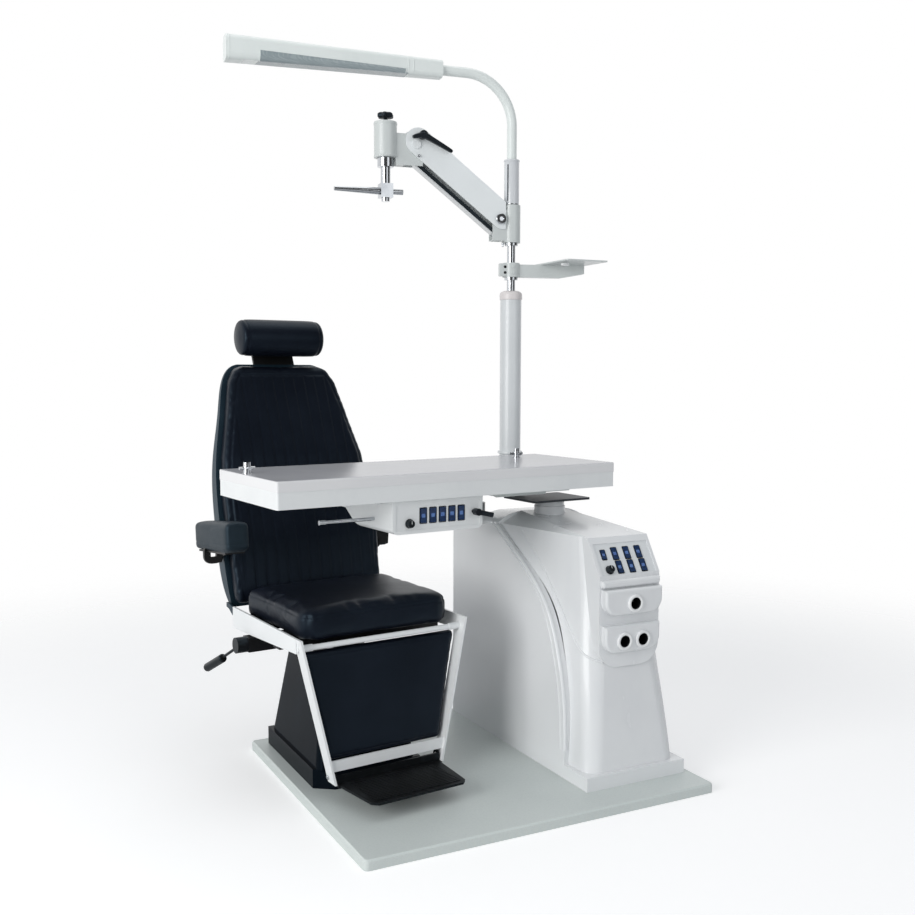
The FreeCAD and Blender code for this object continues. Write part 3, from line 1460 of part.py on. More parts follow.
def make_pole():
    foot = table_bottom - seat_gap - pole_cap_height
    outer = post(pole_x, pole_y, foot, pole_outer_top, pole_outer_radius)
    outer = outer.cut(post(pole_x, pole_y, foot - overrun, pole_outer_top - pole_cap_height,
                           pole_outer_radius - pole_wall))
    outer = outer.cut(post(pole_x, pole_y, foot, pole_outer_top + overrun, pole_inner_radius + running_gap))
    outer = rounded(outer, edge_round * 2, lambda edge: abs(edge.CenterOfMass.z - pole_outer_top) < edge_round / 3
                    and edge.Length > math.pi * pole_outer_radius)
    write("pole_outer", outer)
    inner = post(pole_x, pole_y, pole_inner_foot, pole_inner_top, pole_inner_radius)
    for low, high in collar_levels():
        inner = fused(inner, post(pole_x, pole_y, low, high, collar_radius))
    sleeve = fused(post(pole_x, pole_y, sleeve_low, sleeve_low + sleeve_slot_length, sleeve_radius),
                   post(pole_x, pole_y, sleeve_low, sleeve_top, sleeve_neck_radius))
    neck = sleeve_top - (sleeve_top - sleeve_low) / 4
    sleeve = fused(sleeve, post(pole_x, pole_y, neck - sleeve_radius, neck, sleeve_radius))
    sleeve = sleeve.cut(post(pole_x, pole_y, sleeve_low - overrun, pole_inner_top, pole_inner_radius))
    sleeve = sleeve.cut(post(pole_x, pole_y, pole_inner_top, sleeve_top + overrun,
                             lamp_tube_radius + running_gap))
    sleeve = sleeve.cut(box(pole_x - sleeve_slot / 2, pole_x + sleeve_slot / 2, pole_y - 2 * sleeve_radius,
                            pole_y, sleeve_top - sleeve_slot_length, sleeve_top + overrun))
    write("pole_inner", inner, sleeve)


def collar_levels():
    """Stop collars under the parts that turn on the inner pole."""
    tray_low = tray_arm_low - seat_gap
    hub_foot = hub_low - seat_gap
    return ((tray_low - collar_thickness, tray_low), (hub_foot - collar_thickness, hub_foot))


def make_upper_tray():
    high = tray_arm_low + tray_arm_height
    half = tray_arm_width / 2
    clamp = post(0, 0, tray_arm_low, high, tray_clamp_radius)
    beam = box(0, tray_arm_length, -half, half, tray_arm_low, high - tray_thickness)
    slope = prism(((tray_arm_straight, -half * 2, tray_arm_low - overrun),
                   (tray_arm_length + overrun, -half * 2, tray_arm_low - overrun),
                   (tray_arm_length + overrun, -half * 2, tray_arm_low + tray_arm_height / 3)),
                  (0, 4 * half, 0))
    arm = fused(clamp, beam).cut(slope)
    arm = arm.cut(post(0, 0, tray_arm_low - overrun, high + overrun, pole_inner_radius + running_gap))
    pieces = [turned(arm, tray_arm_turn, pole_x, pole_y)]
    plate = rounded_block(-tray_length / 2, tray_length / 2, -tray_depth / 2, tray_depth / 2,
                          high - tray_thickness, high, tray_corner)
    pieces.append(turned(plate, tray_turn, tray_x, tray_y))
    tray = fused(*pieces)
    tray = tray.cut(post(pole_x, pole_y, high - 2 * tray_thickness, high + overrun, tray_clamp_radius + free_gap)
                    .cut(post(pole_x, pole_y, tray_arm_low, high + overrun, tray_clamp_radius)))
    screws = []
    for step in (-0.5, 0.5):
        level = tray_arm_low + tray_arm_height / 2 + step * tray_screw_spacing
        screw = rod((0, -tray_clamp_radius + sheet, level), (0, -tray_clamp_radius - sheet, level),
                    tray_screw_radius)
        screws.append(turned(screw, tray_arm_turn, pole_x, pole_y))
    tray = fused(tray, *screws)
    write("upper_tray", tray)


# Instrument arm, drawn with the reach towards -x

def arm_point(place, shift=(0.0, 0.0)):
    return Vector(-(place[0] + shift[0]), 0, place[1] + shift[1])


def arm_direction():
    """Unit vectors along the arm away from the pole, and square to it upward."""
    line = (arm_point(beam_head_pivot) - arm_point(beam_hub_pivot)).normalize()
    normal = Vector(line.z, 0, -line.x)
    if normal.z < 0:
        normal = normal * -1
    return line, normal


def long_hole_wire(start, end, above, below, y):
    """An outline round a line, with round ends."""
    line, normal = arm_direction()
    middle_high = (above - below) / 2
    reach = (above + below) / 2
    points = [start + normal * above, end + normal * above, end + line * reach + normal * middle_high,
              end - normal * below, start - normal * below, start - line * reach + normal * middle_high]
    points = [Vector(p.x, y, p.z) for p in points]
    edges = [Part.LineSegment(points[0], points[1]), Part.Arc(points[1], points[2], points[3]),
             Part.LineSegment(points[3], points[4]), Part.Arc(points[4], points[5], points[0])]
    return Part.Wire([edge.toShape() for edge in edges])


def bar_between(start, end, above, below, half):
    face = Part.Face(long_hole_wire(start, end, above, below, -half))
    return face.extrude(Vector(0, 2 * half, 0))


def cross_pin(point, half, radius):
    return rod((point.x, -half, point.z), (point.x, half, point.z), radius)


def make_arm():
    b1, h1 = arm_point(beam_hub_pivot), arm_point(beam_head_pivot)
    b2, h2 = arm_point(beam_hub_pivot, link_shift), arm_point(beam_head_pivot, link_shift)
    line, normal = arm_direction()
    inner = cheek_width / 2 + free_gap
    outer = inner + beam_wall
    beam = bar_between(b1, h1, beam_above, beam_below, outer)
    room = bar_between(b1 - line * beam_end_round, h1 + line * beam_end_round, beam_above - beam_wall,
                       beam_below + beam_end_round, inner)
    swing = beam_head_pivot[0] * 2
    hub_room = post(0, 0, hub_low, hub_high + swing, cheek_width)
    beam = beam.cut(room).cut(hub_room)
    for point in (b1, h1):
        beam = fused(beam, cross_pin(point, outer, arm_pin_radius), cross_pin(point, outer + arm_pin_head,
                                                                            arm_pin_head_radius)
                     .cut(cross_pin(point, outer, arm_pin_head_radius * 2)))
    clamp = arm_point(clamp_place)
    beam = beam.cut(rod((clamp.x, -outer - overrun, clamp.z), (clamp.x, -inner + overrun, clamp.z),
                        knob_stem_radius + running_gap))
    write("arm_beam", in_arm(max(beam.Solids, key=lambda solid: solid.Volume)))
    link = bar_between(b2, h2, link_half, link_half, link_width / 2)
    pin_room = arm_pin_radius + running_gap
    link = link.cut(cross_pin(b2, outer, pin_room)).cut(cross_pin(h2, outer, pin_room + free_gap))
    write("arm_link", in_arm(link))
    make_arm_hub(b1, b2)
    make_arm_head(h1, h2)
    make_clamp_lever(clamp, outer)


def make_arm_hub(b1, b2):
    half = cheek_width / 2
    barrel = post(0, 0, hub_low, hub_high, hub_radius)
    cheek = prism(((0, -half, cheek_low), (0, -half, cheek_high), (-cheek_reach, -half, cheek_high),
                   (-cheek_reach, -half, cheek_low)), (0, 2 * half, 0))
    slot = bar_between(b2, b2 - Vector(cheek_reach * 2, 0, -cheek_slot_rise), link_half * 4, link_half * 3,
                       link_width / 2 + free_gap)
    room = bar_between(b2, b2 + Vector(overrun, 0, 0), link_half * 2, link_half * 2, link_width / 2 + free_gap)
    hub = fused(barrel, cheek).cut(slot).cut(room)
    keeper = post(0, 0, hub_low, hub_high, pole_inner_radius + sheet)
    hub = fused(hub, keeper)
    hub = hub.cut(post(0, 0, hub_low - overrun, hub_high + overrun, pole_inner_radius + running_gap))
    hub = hub.cut(cross_pin(b1, half * 3, arm_pin_radius + running_gap))
    hub = fused(hub, cross_pin(b2, half, arm_pin_radius))
    write("arm_hub", in_arm(hub))


def make_arm_head(h1, h2):
    half = head_block_half
    barrel = post(-head_reach, 0, head_foot, head_cap, head_radius)
    block = prism(((-head_reach, -half, head_block_low), (-head_reach, -half, head_block_high),
                   (-head_block_reach, -half, head_block_high), (-head_block_reach, -half, head_block_low)),
                  (0, 2 * half, 0))
    block = block.cut(post(-head_reach, 0, head_block_low - overrun, head_foot, spindle_collar_radius
                           + link_half))
    line, normal = arm_direction()
    slot = bar_between(h2 - line * cheek_reach * 2, h2, link_half * 3, link_half * 4, link_width / 2 + free_gap)
    head = fused(barrel, block).cut(slot)
    head = head.cut(cross_pin(h1, half * 3, arm_pin_radius + running_gap))
    head = fused(head, cross_pin(h2, half, arm_pin_radius))
    head = head.cut(post(-head_reach, 0, head_foot - overrun, head_foot + spindle_bore_depth,
                         spindle_radius + running_gap))
    head = head.cut(post(-head_reach, 0, head_cap - star_gap * 2, head_cap + overrun,
                         star_stem_radius + running_gap))
    write("arm_head", in_arm(max(head.Solids, key=lambda solid: solid.Volume)))
    make_head_fittings()


def make_head_fittings():
    star = post(-head_reach, 0, head_cap + star_gap, head_cap + star_gap + star_height,
                star_radius - star_lobe_radius / 2)
    for index in range(star_lobes):
        angle = 2 * math.pi * index / star_lobes
        reach = star_radius - star_lobe_radius
        star = star.fuse(post(-head_reach + reach * math.cos(angle), reach * math.sin(angle),
                              head_cap + star_gap, head_cap + star_gap + star_height, star_lobe_radius))
    stem = post(-head_reach, 0, head_cap - star_gap, head_cap + star_gap, star_stem_radius)
    write("head_knob", in_arm(fused(star, stem)))
    collar = post(-head_reach, 0, spindle_collar_low, head_foot - seat_gap, spindle_collar_radius)
    shaft = post(-head_reach, 0, cross_high, head_foot + spindle_bore_depth - overrun, spindle_radius)
    block = box(-head_reach - cross_half, -head_reach + cross_half, -cross_half, cross_half, cross_low, cross_high)
    line = Vector(-1, 0, 0)
    root = Vector(-head_reach - cross_half, 0, pin_level)
    length = pin_reach - head_reach - cross_half
    pin = Part.makeCone(pin_root_radius, pin_tip_radius, length, root, line)
    stub = rod((-head_reach + cross_half, 0, pin_level), (-stub_reach, 0, pin_level), stub_radius)
    nut = post(-head_reach, 0, cross_low - stub_nut_length, cross_low, stub_nut_radius)
    write("head_spindle", in_arm(fused(collar, shaft, block, pin, stub, nut)))


def make_clamp_lever(clamp, outer):
    front = -outer - arm_pin_head
    stem = rod((clamp.x, -outer + beam_wall / 2, clamp.z), (clamp.x, front, clamp.z), knob_stem_radius)
    boss = rod((clamp.x, -outer - seat_gap, clamp.z), (clamp.x, front - clamp_boss_height, clamp.z),
               clamp_boss_radius)
    tip = (clamp.x - clamp_arm[0], front - clamp_boss_height, clamp.z + clamp_arm[1])
    bar = rod((clamp.x, front - clamp_boss_height / 2, clamp.z), tip, clamp_arm_radius)
    ball = Part.makeSphere(clamp_tip_radius, Vector(*tip))
    write("clamp_lever", in_arm(fused(stem, boss, bar, ball)))


# Lamp, drawn with the reach towards -x

def lamp_outline(reach, half, inset):
    deep = half * lamp_depth_share - inset
    high = half - inset
    wire = rounded_wire(-high, high, -deep, deep, 0, high * lamp_round_share)
    face = Part.Face(wire)
    face.Placement = Placement(Vector(-reach, 0, lamp_level), Rotation(Y_AXIS, -90))
    return face.OuterWire


def lamp_half(reach):
    share = (reach - lamp_near) / (lamp_far - lamp_near)
    return lamp_near_half + (lamp_far_half - lamp_near_half) * share


def make_lamp():
    start = pole_inner_top + sheet
    knee = lamp_level - lamp_bend
    turn = lamp_bend * (1 - math.sqrt(0.5))
    path = Part.Wire([
        Part.LineSegment(Vector(0, 0, start), Vector(0, 0, knee)).toShape(),
        Part.Arc(Vector(0, 0, knee), Vector(-turn, 0, lamp_level - turn),
                 Vector(-lamp_bend, 0, lamp_level)).toShape(),
        Part.LineSegment(Vector(-lamp_bend, 0, lamp_level), Vector(-lamp_tube_end, 0, lamp_level)).toShape(),
    ])
    ring = Part.Wire([Part.makeCircle(lamp_tube_radius, Vector(0, 0, start), Z_AXIS)])
    bore = Part.Wire([Part.makeCircle(lamp_tube_radius - lamp_tube_wall, Vector(0, 0, start), Z_AXIS)])
    tube = path.makePipeShell([ring], True, False).cut(path.makePipeShell([bore], True, False))
    write("lamp_tube", in_lamp(tube))
    outer = loft([lamp_outline(lamp_near, lamp_near_half, 0), lamp_outline(lamp_collar_end, lamp_half(
        lamp_collar_end), 0), lamp_outline(lamp_far, lamp_far_half, 0)], True)
    near, far = lamp_near + sheet * 2, lamp_far - sheet * 2
    inner = loft([lamp_outline(near, lamp_half(near), lamp_wall), lamp_outline(far, lamp_half(far), lamp_wall)],
                 True)
    housing = outer.cut(inner)
    seat = rod((0, 0, lamp_level), (-lamp_tube_end - free_gap, 0, lamp_level), lamp_tube_radius)
    housing = housing.cut(seat)
    slot = box(-lens_far, -lens_near, -lens_width / 2, lens_width / 2,
               lamp_level - lamp_far_half - overrun, lamp_level - lamp_near_half / 2)
    housing = housing.cut(slot)
    write("lamp_housing", in_lamp(max(housing.Solids, key=lambda solid: solid.Volume)))
    lens = lens_form()
    write("lamp_lens", in_lamp(lens))


def lens_form():
    """A flat window that follows the taper of the housing's underside."""
    near_low = lamp_level - lamp_half(lens_near) + lens_thickness / 2
    far_low = lamp_level - lamp_half(lens_far) + lens_thickness / 2
    half = lens_width / 2
    return prism(((-lens_near, -half, near_low), (-lens_near, -half, near_low + lens_thickness),
                  (-lens_far, -half, far_low + lens_thickness), (-lens_far, -half, far_low)), (0, 2 * half, 0))


def main():
    make_platform()
    make_chair_base()
    make_leg_frame()
    make_seat_carrier()
    make_lock_lever()
    make_leg_pad()
    make_footplate()
    make_seat_cushion()
    make_back()
    make_headrest()
    make_armrests()
    make_cabinet_shell()
    make_cowl()
    make_console()
    make_holders()
    make_small_tray()
    make_power_unit()
    make_table_column()
    make_table_arm()
    make_table()
    make_switch_box()
    make_pole()
    make_upper_tray()
    make_arm()
    make_lamp()


main()
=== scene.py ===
import math
import bmesh
import bpy
import numpy as np
from mathutils import Matrix, Vector


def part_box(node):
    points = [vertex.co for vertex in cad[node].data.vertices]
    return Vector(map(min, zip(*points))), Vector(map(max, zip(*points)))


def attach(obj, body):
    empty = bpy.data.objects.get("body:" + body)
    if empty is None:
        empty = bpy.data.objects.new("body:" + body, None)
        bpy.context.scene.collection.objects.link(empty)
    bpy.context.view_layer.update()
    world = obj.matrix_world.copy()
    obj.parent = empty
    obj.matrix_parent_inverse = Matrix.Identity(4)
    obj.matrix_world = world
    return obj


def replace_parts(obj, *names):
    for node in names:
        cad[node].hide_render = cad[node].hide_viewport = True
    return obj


# An ophthalmic examination unit, dressed over its CAD frame.  Metres; x right, y back, z up.
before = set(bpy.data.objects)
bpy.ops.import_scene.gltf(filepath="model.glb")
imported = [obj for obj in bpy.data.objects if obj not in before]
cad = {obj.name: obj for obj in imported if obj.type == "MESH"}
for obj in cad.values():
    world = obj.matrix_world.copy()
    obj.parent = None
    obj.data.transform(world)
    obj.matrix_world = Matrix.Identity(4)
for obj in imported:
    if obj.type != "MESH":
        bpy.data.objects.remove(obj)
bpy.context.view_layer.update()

# Where the chair's and the table's own frames lie: x, y and the turn in degrees
CHAIR = (-0.308, 0.18, 6.0)
TABLE = (-0.609, -0.208, 5.5)
CABINET_X = 0.313
UP = (0.0, 0.0, 1.0)
RIGHT = (1.0, 0.0, 0.0)


def headings(degrees):
    """The right-hand and the forward direction of a frame turned about the upright."""
    turn = math.radians(degrees)
    return np.array((math.cos(turn), math.sin(turn), 0.0)), np.array((math.sin(turn), -math.cos(turn), 0.0))


def linked(name, data):
    """A new object for some data, in the scene."""
    made = bpy.data.objects.new(name, data)
    bpy.context.scene.collection.objects.link(made)
    return made


# Camera, floor and light

def make_camera():
    """A long lens at eye height, to the left of the unit's front and turned towards it."""
    data = bpy.data.cameras.new("view_camera")
    data.sensor_width = 36.0
    data.lens = 41.9
    camera = linked("view_camera", data)
    turn = Matrix.Rotation(math.radians(-27.39), 4, "Z")
    tip = Matrix.Rotation(math.radians(90.0 - 4.61), 4, "X")
    roll = Matrix.Rotation(math.radians(0.15), 4, "Z")
    camera.matrix_world = Matrix.Translation((-1.345, -2.515, 1.0905)) @ turn @ tip @ roll
    bpy.context.scene.camera = camera


def lamp(name, place, aim, size, power, colour=(1.0, 1.0, 1.0)):
    data = bpy.data.lights.new(name, "AREA")
    data.shape = "SQUARE"
    data.size = size
    data.energy = power
    data.color = colour
    light = linked(name, data)
    light.location = place
    light.rotation_euler = (Vector(aim) - Vector(place)).to_track_quat("-Z", "Y").to_euler()


def make_lights():
    lamp("key_left", (-4.3, -1.5, 1.8), (0.0, 0.0, 0.9), 2.8, 128.0, (1.0, 0.998, 0.99))
    lamp("front_fill", (1.3, -4.5, 2.0), (0.1, 0.0, 0.8), 2.4, 22.0, (0.97, 0.985, 1.0))
    lamp("top_soft", (0.2, 0.3, 4.2), (0.0, 0.0, 0.5), 2.6, 24.0)
    world = bpy.data.worlds.new("studio")
    world.use_nodes = True
    bpy.context.scene.world = world
    world.node_tree.nodes.clear()
    start = Wire(world.node_tree)
    seen, glossy, passing = [start.make("ShaderNodeLightPath", out="Is " + kind + " Ray")
                             for kind in ("Camera", "Glossy", "Transmission")]
    mirrored = (glossy + passing).make("ShaderNodeClamp", Value="self")
    heading = start.make("ShaderNodeTexCoord", out="Generated").make("ShaderNodeSeparateXYZ", out=1, Vector="self")
    room = heading.between(-0.45, 0.35).blend(grey(0.07), grey(1.0))
    ambient, reflected, white = [start.make("ShaderNodeBackground", Color=colour, Strength=power) for colour, power
                                 in (((0.93, 0.96, 1.0), 0.46), (room, 1.0), (grey(1.0), 1.0))]
    around = mirrored.make("ShaderNodeMixShader", i0="self", i1=ambient, i2=reflected)
    both = seen.make("ShaderNodeMixShader", i0="self", i1=around, i2=white)
    both.make("ShaderNodeOutputWorld", Surface="self")


class Wire:
    """One output of a shader node.  Sums written on it add the Math nodes that work them out."""

    def __init__(self, tree, socket=None):
        self.tree = tree
        self.socket = socket

    def make(self, kind, out=0, settings=None, **inputs):
        """Adds a node: its settings first, then a value or a link for each named or numbered socket."""
        node = self.tree.nodes.new(kind)
        for key, value in (settings or {}).items():
            setattr(node, key, value)
        for key, value in inputs.items():
            numbered = key[0] == "i" and key[1:].isdigit()
            socket = node.inputs[int(key[1:])] if numbered else node.inputs[key.replace("_", " ")]
            if isinstance(value, str) and value == "self":
                value = self
            if isinstance(value, Wire):
                self.tree.links.new(value.socket, socket)
            else:
                socket.default_value = (*value, 1.0) if socket.type == "RGBA" else value
        return Wire(self.tree, node.outputs[out] if node.outputs else None)

    def sum(self, operation, first, second):
        return self.make("ShaderNodeMath", settings={"operation": operation}, i0=first, i1=second)

    def __add__(self, other):
        return self.sum("ADD", self, other)

    __radd__ = __add__

    def __mul__(self, other):
        return self.sum("MULTIPLY", self, other)

    __rmul__ = __mul__

    def between(self, low, high):
        """0 below one value, 1 above another, a smooth step between them."""
        return self.make("ShaderNodeMapRange", settings={"interpolation_type": "SMOOTHSTEP"},
                         Value=self, From_Min=low, From_Max=high)

    def blend(self, first, second):
        """A colour that goes from the first to the second as this value goes from 0 to 1."""
        return self.make("ShaderNodeMix", out=2, settings={"data_type": "RGBA"}, i0=self, i6=first, i7=second)


class Finish(Wire):
    """A material for one kind of surface, with its own place patterns."""

    def __init__(self, name):
        self.material = bpy.data.materials.new(name)
        self.material.use_nodes = True
        self.material.node_tree.nodes.clear()
        super().__init__(self.material.node_tree)
        self.place = self.make("ShaderNodeTexCoord", out="Object")

    def noise(self, scale, detail=3.0, rough=0.5, stretch=(1.0, 1.0, 1.0)):
        """Cloudy pattern from 0 to 1, scale in turns per metre."""
        where = self.place
        if stretch != (1.0, 1.0, 1.0):
            where = self.make("ShaderNodeMapping", Vector=self.place, Scale=stretch)
        return self.make("ShaderNodeTexNoise", Vector=where, Scale=scale, Detail=detail, Roughness=rough)

    def cells(self, scale):
        """Pebble pattern: the distance to the border between cells."""
        edge = {"feature": "DISTANCE_TO_EDGE"}
        return self.make("ShaderNodeTexVoronoi", settings=edge, Vector=self.place, Scale=scale)

    def close(self, colour, rough, height, depth=0.0002, strength=0.4, **constants):
        """Puts colour, roughness and height into one surface shader; the rest are plain numbers."""
        bump = self.make("ShaderNodeBump", Height=height, Distance=depth, Strength=strength)
        shader = self.make("ShaderNodeBsdfPrincipled", Base_Color=colour, Roughness=rough, Normal=bump, **constants)
        shader.make("ShaderNodeOutputMaterial", Surface="self")
        return self.material


def grey(value):
    return (value, value, value)


# Finishes

COOL_SHINE = (0.55, 0.8, 1.0)


def baked_paint(name, colour, darker, rough=0.3, coat=0.25, shine=0.5):
    """Stoved enamel on sheet steel: a fine orange-peel skin and a faint cloudiness."""
    f = Finish(name)
    cloud = f.noise(7.0, 2.0)
    peel = f.noise(420.0, 2.0, 0.4)
    dust = f.noise(60.0, 4.0, 0.6)
    mix = cloud.between(0.35, 0.75) * 0.5 + dust.between(0.5, 0.9) * 0.2
    return f.close(mix.blend(colour, darker), dust * 0.1 + (rough - 0.04), peel * 0.8 + dust * 0.3,
                   0.00012, 0.22, Coat_Weight=coat, Coat_Roughness=0.12, Specular_IOR_Level=shine)


def moulded(name, colour, darker, rough=0.32, grain=900.0, depth=0.00008, coat=0.0, shine=0.5,
            shine_colour=(1.0, 1.0, 1.0)):
    """Moulded plastic with a spark-eroded grain and slight flow marks."""
    f = Finish(name)
    skin = f.noise(grain, 2.0, 0.5)
    flow = f.noise(14.0, 3.0, 0.55, (1.0, 1.0, 0.35))
    return f.close(flow.between(0.4, 0.8).blend(colour, darker), flow * 0.08 + (rough - 0.04), skin,
                   depth, 0.35, Coat_Weight=coat, Coat_Roughness=0.08, Specular_IOR_Level=shine,
                   Specular_Tint=shine_colour)


def plated(name, colour=(0.6, 0.62, 0.645), rough=0.13):
    """Bright chromium plate with wiped smears and hairline marks."""
    f = Finish(name)
    smear = f.noise(30.0, 4.0, 0.6)
    hair = f.noise(90.0, 2.0, 0.5, (1.0, 1.0, 14.0))
    tone = smear.between(0.35, 0.75)
    return f.close(tone.blend(colour, (0.5, 0.52, 0.55)), smear * 0.07 + hair * 0.04 + (rough - 0.04), hair,
                   0.00003, 0.15, Metallic=1.0)


def brushed(name, colour, rough=0.3):
    """Satin-anodised or brushed metal: rings of fine scratches round the upright axis."""
    f = Finish(name)
    rings = f.noise(26.0, 3.0, 0.7, (1.0, 1.0, 40.0))
    cloud = f.noise(9.0, 2.0)
    return f.close((rings * 0.6 + cloud * 0.4).between(0.3, 0.8).blend(colour, [c * 0.86 for c in colour]),
                   rings * 0.14 + (rough - 0.07), rings, 0.00005, 0.3, Metallic=0.9)


def vinyl(name, colour, lighter, grain=620.0, rough=0.4, shine=0.32):
    """Upholstery vinyl: a leather-like pebble grain with painted shade in its grooves, faint pull marks and a soft
    worn sheen.
    """
    f = Finish(name)
    pebble = f.cells(grain)
    fine = f.noise(1500.0, 2.0, 0.5)
    pull = f.noise(22.0, 5.0, 0.65)
    worn = f.noise(6.0, 2.0)
    height = pebble.between(0.0, 0.35) * 0.7 + fine * 0.15 + pull * 0.5
    # The pebble term paints the cell borders darker than the cell tops: painted shade in the grain's grooves. The worn
    # term is random lighter tone.
    tone = worn.between(0.35, 0.75) * 0.6 + pebble.between(0.0, 0.2) * 0.25
    return f.close(tone.blend(colour, lighter), pull * 0.14 + worn * 0.06 + (rough - 0.08), height,
                   0.00018, 0.36, Specular_IOR_Level=shine, Specular_Tint=COOL_SHINE)


def floor_board():
    """The platform's laminate: pale grey-green with a fine fleck."""
    f = Finish("platform_laminate")
    fleck = f.noise(260.0, 3.0, 0.7)
    cloud = f.noise(3.0, 3.0, 0.5)
    tone = fleck.between(0.42, 0.7) * 0.35 + cloud.between(0.3, 0.8) * 0.5
    return f.close(tone.blend((0.66, 0.71, 0.69), (0.56, 0.61, 0.6)), fleck * 0.12 + 0.34, fleck,
                   0.0001, 0.25)


def table_laminate():
    """High-pressure laminate: cool white, glossy, with the faintest ripple. Its top sheet is painted darker than the
    edging: a painted reflection of the dark things the glossy top mirrors.
    """
    f = Finish("table_laminate")
    ripple = f.noise(16.0, 2.0, 0.4)
    cloud = f.noise(2.5, 2.0)
    # The top sheet's darker grey is painted reflection and shade, not a different laminate; the edging keeps the
    # laminate's own white.
    top_with_painted_reflection = cloud.between(0.3, 0.8).blend((0.5, 0.505, 0.53), (0.47, 0.475, 0.5))
    edging = cloud.between(0.3, 0.8).blend((0.8, 0.8, 0.805), (0.77, 0.77, 0.78))
    level = f.place.make("ShaderNodeSeparateXYZ", out=2, Vector="self")
    return f.close(level.between(0.8405, 0.8415).blend(edging, top_with_painted_reflection),
                   ripple * 0.05 + 0.21, ripple, 0.00006, 0.12)


def lens_sheet():
    """The lamp's grey diffuser: fine prism lines along it behind a satin face."""
    f = Finish("lamp_diffuser")
    lines = f.noise(40.0, 1.0, 0.5, (1.0, 30.0, 1.0))
    cloud = f.noise(5.0, 2.0)
    tone = lines.between(0.35, 0.65) * 0.5 + cloud.between(0.3, 0.7) * 0.4
    along = f.place.make("ShaderNodeSeparateXYZ", out=0, Vector="self")
    glass = tone.blend((0.29, 0.345, 0.36), (0.37, 0.42, 0.435))
    return f.close(along.between(-0.4606, -0.4602).blend((0.8, 0.845, 0.825), glass), lines * 0.1 + 0.22, lines,
                   0.0002, 0.3, Coat_Weight=0.3)


def rubber():
    """Ribbed mat rubber: near black, dusty, dull."""
    f = Finish("foot_rubber")
    dust = f.noise(35.0, 4.0, 0.65)
    pores = f.noise(900.0, 2.0)
    return f.close(dust.between(0.45, 0.85).blend(grey(0.007), (0.018, 0.019, 0.022)), dust * 0.16 + 0.42,
                   pores, 0.0001, 0.4, Specular_IOR_Level=0.2, Specular_Tint=COOL_SHINE)


def blue_rocker(name, colour, lighter):
    """Deep blue translucent plastic: uneven tint, a moulding grain and a polished skin."""
    f = Finish(name)
    tint = f.noise(120.0, 2.0)
    return f.close(tint.between(0.3, 0.7).blend(colour, lighter), tint * 0.1 + 0.14,
                   tint, 0.00004, 0.2, Coat_Weight=0.5, Coat_Roughness=0.05)


WHITE_PAINT = baked_paint("white_enamel", (0.83, 0.845, 0.855), (0.8, 0.815, 0.83), 0.2, 0.4)
FRAME_PAINT = baked_paint("frame_enamel", (0.84, 0.86, 0.865), (0.8, 0.82, 0.83), 0.34, 0.15)
COWL_WHITE = moulded("cowl_white", (0.8, 0.815, 0.825), (0.77, 0.785, 0.8), 0.26, 700.0, 0.00005, 0.3)
BOX_WHITE = moulded("box_white", (0.8, 0.82, 0.82), (0.76, 0.78, 0.785), 0.3)
PANEL_WHITE = moulded("panel_white", (0.74, 0.765, 0.775), (0.7, 0.725, 0.74), 0.38, 1200.0)
# Castings' enamel: its grey is partly the castings' own colour and partly painted shade, darkened because the arm's
# hub stands in shade.
CAST_GREY_WITH_PAINTED_SHADE = baked_paint("casting_enamel_with_painted_shade", (0.63, 0.665, 0.655), (0.59, 0.625, 0.615), 0.32, 0.2)
BEAM_GREY = baked_paint("beam_enamel", (0.84, 0.875, 0.88), (0.8, 0.835, 0.84), 0.34, 0.15)
LAMP_WHITE = moulded("lamp_white", (0.8, 0.845, 0.825), (0.76, 0.81, 0.79), 0.3, 800.0)
BLACK_COVER = moulded("black_cover", (0.003, 0.005, 0.008), (0.006, 0.009, 0.014), 0.16, 500.0, 0.00006, 0.0,
                      0.05, COOL_SHINE)
BLACK_PLASTIC = moulded("black_plastic", grey(0.009), (0.016, 0.017, 0.021), 0.33, shine=0.28,
                        shine_colour=COOL_SHINE)
BLACK_STEEL = baked_paint("black_enamel", grey(0.01), (0.02, 0.021, 0.025), 0.36, 0.0, 0.28)
GREY_STEEL = baked_paint("grey_enamel", (0.24, 0.26, 0.27), (0.18, 0.2, 0.21), 0.42, 0.1)
DARK_TRAY = moulded("dark_tray", (0.05, 0.055, 0.065), (0.075, 0.082, 0.09), 0.45, 900.0, shine=0.22)
CHROME = plated("chrome")
POLE_STEEL = plated("pole_chrome", (0.6, 0.62, 0.64), 0.18)
POLE_SILVER = baked_paint("pole_enamel", (0.7, 0.725, 0.735), (0.65, 0.675, 0.685), 0.3, 0.25)
SLEEVE_SATIN = baked_paint("sleeve_satin", (0.66, 0.68, 0.7), (0.6, 0.62, 0.645), 0.24, 0.35)
LINK_METAL = brushed("link_metal", (0.62, 0.64, 0.65))
NAVY_VINYL = vinyl("navy_vinyl", (0.004, 0.0052, 0.01), (0.008, 0.0105, 0.018), 620.0, 0.34, 0.24)
ARM_SKIN = vinyl("armrest_skin", (0.01, 0.016, 0.022), (0.018, 0.027, 0.035), 820.0, 0.46, 0.36)
DARK_SHELL = moulded("back_shell_black", (0.012, 0.026, 0.038), (0.02, 0.038, 0.053), 0.42, 500.0, 0.00015,
                     shine=0.42, shine_colour=COOL_SHINE)
BOARD = floor_board()
TABLE_TOP = table_laminate()
LENS = lens_sheet()
MAT_RUBBER = rubber()
BLUE = blue_rocker("rocker_navy", (0.01, 0.028, 0.085), (0.018, 0.045, 0.12))
BLUE_WINDOW = blue_rocker("rocker_window", (0.08, 0.15, 0.4), (0.13, 0.24, 0.52))
LIP_WHITE = moulded("holder_lip_white", (0.86, 0.87, 0.87), (0.82, 0.83, 0.84), 0.24, 900.0, 0.00004, 0.3)
CAP_IVORY = moulded("pole_cap_ivory", (0.74, 0.7, 0.69), (0.7, 0.66, 0.655), 0.34, 900.0)

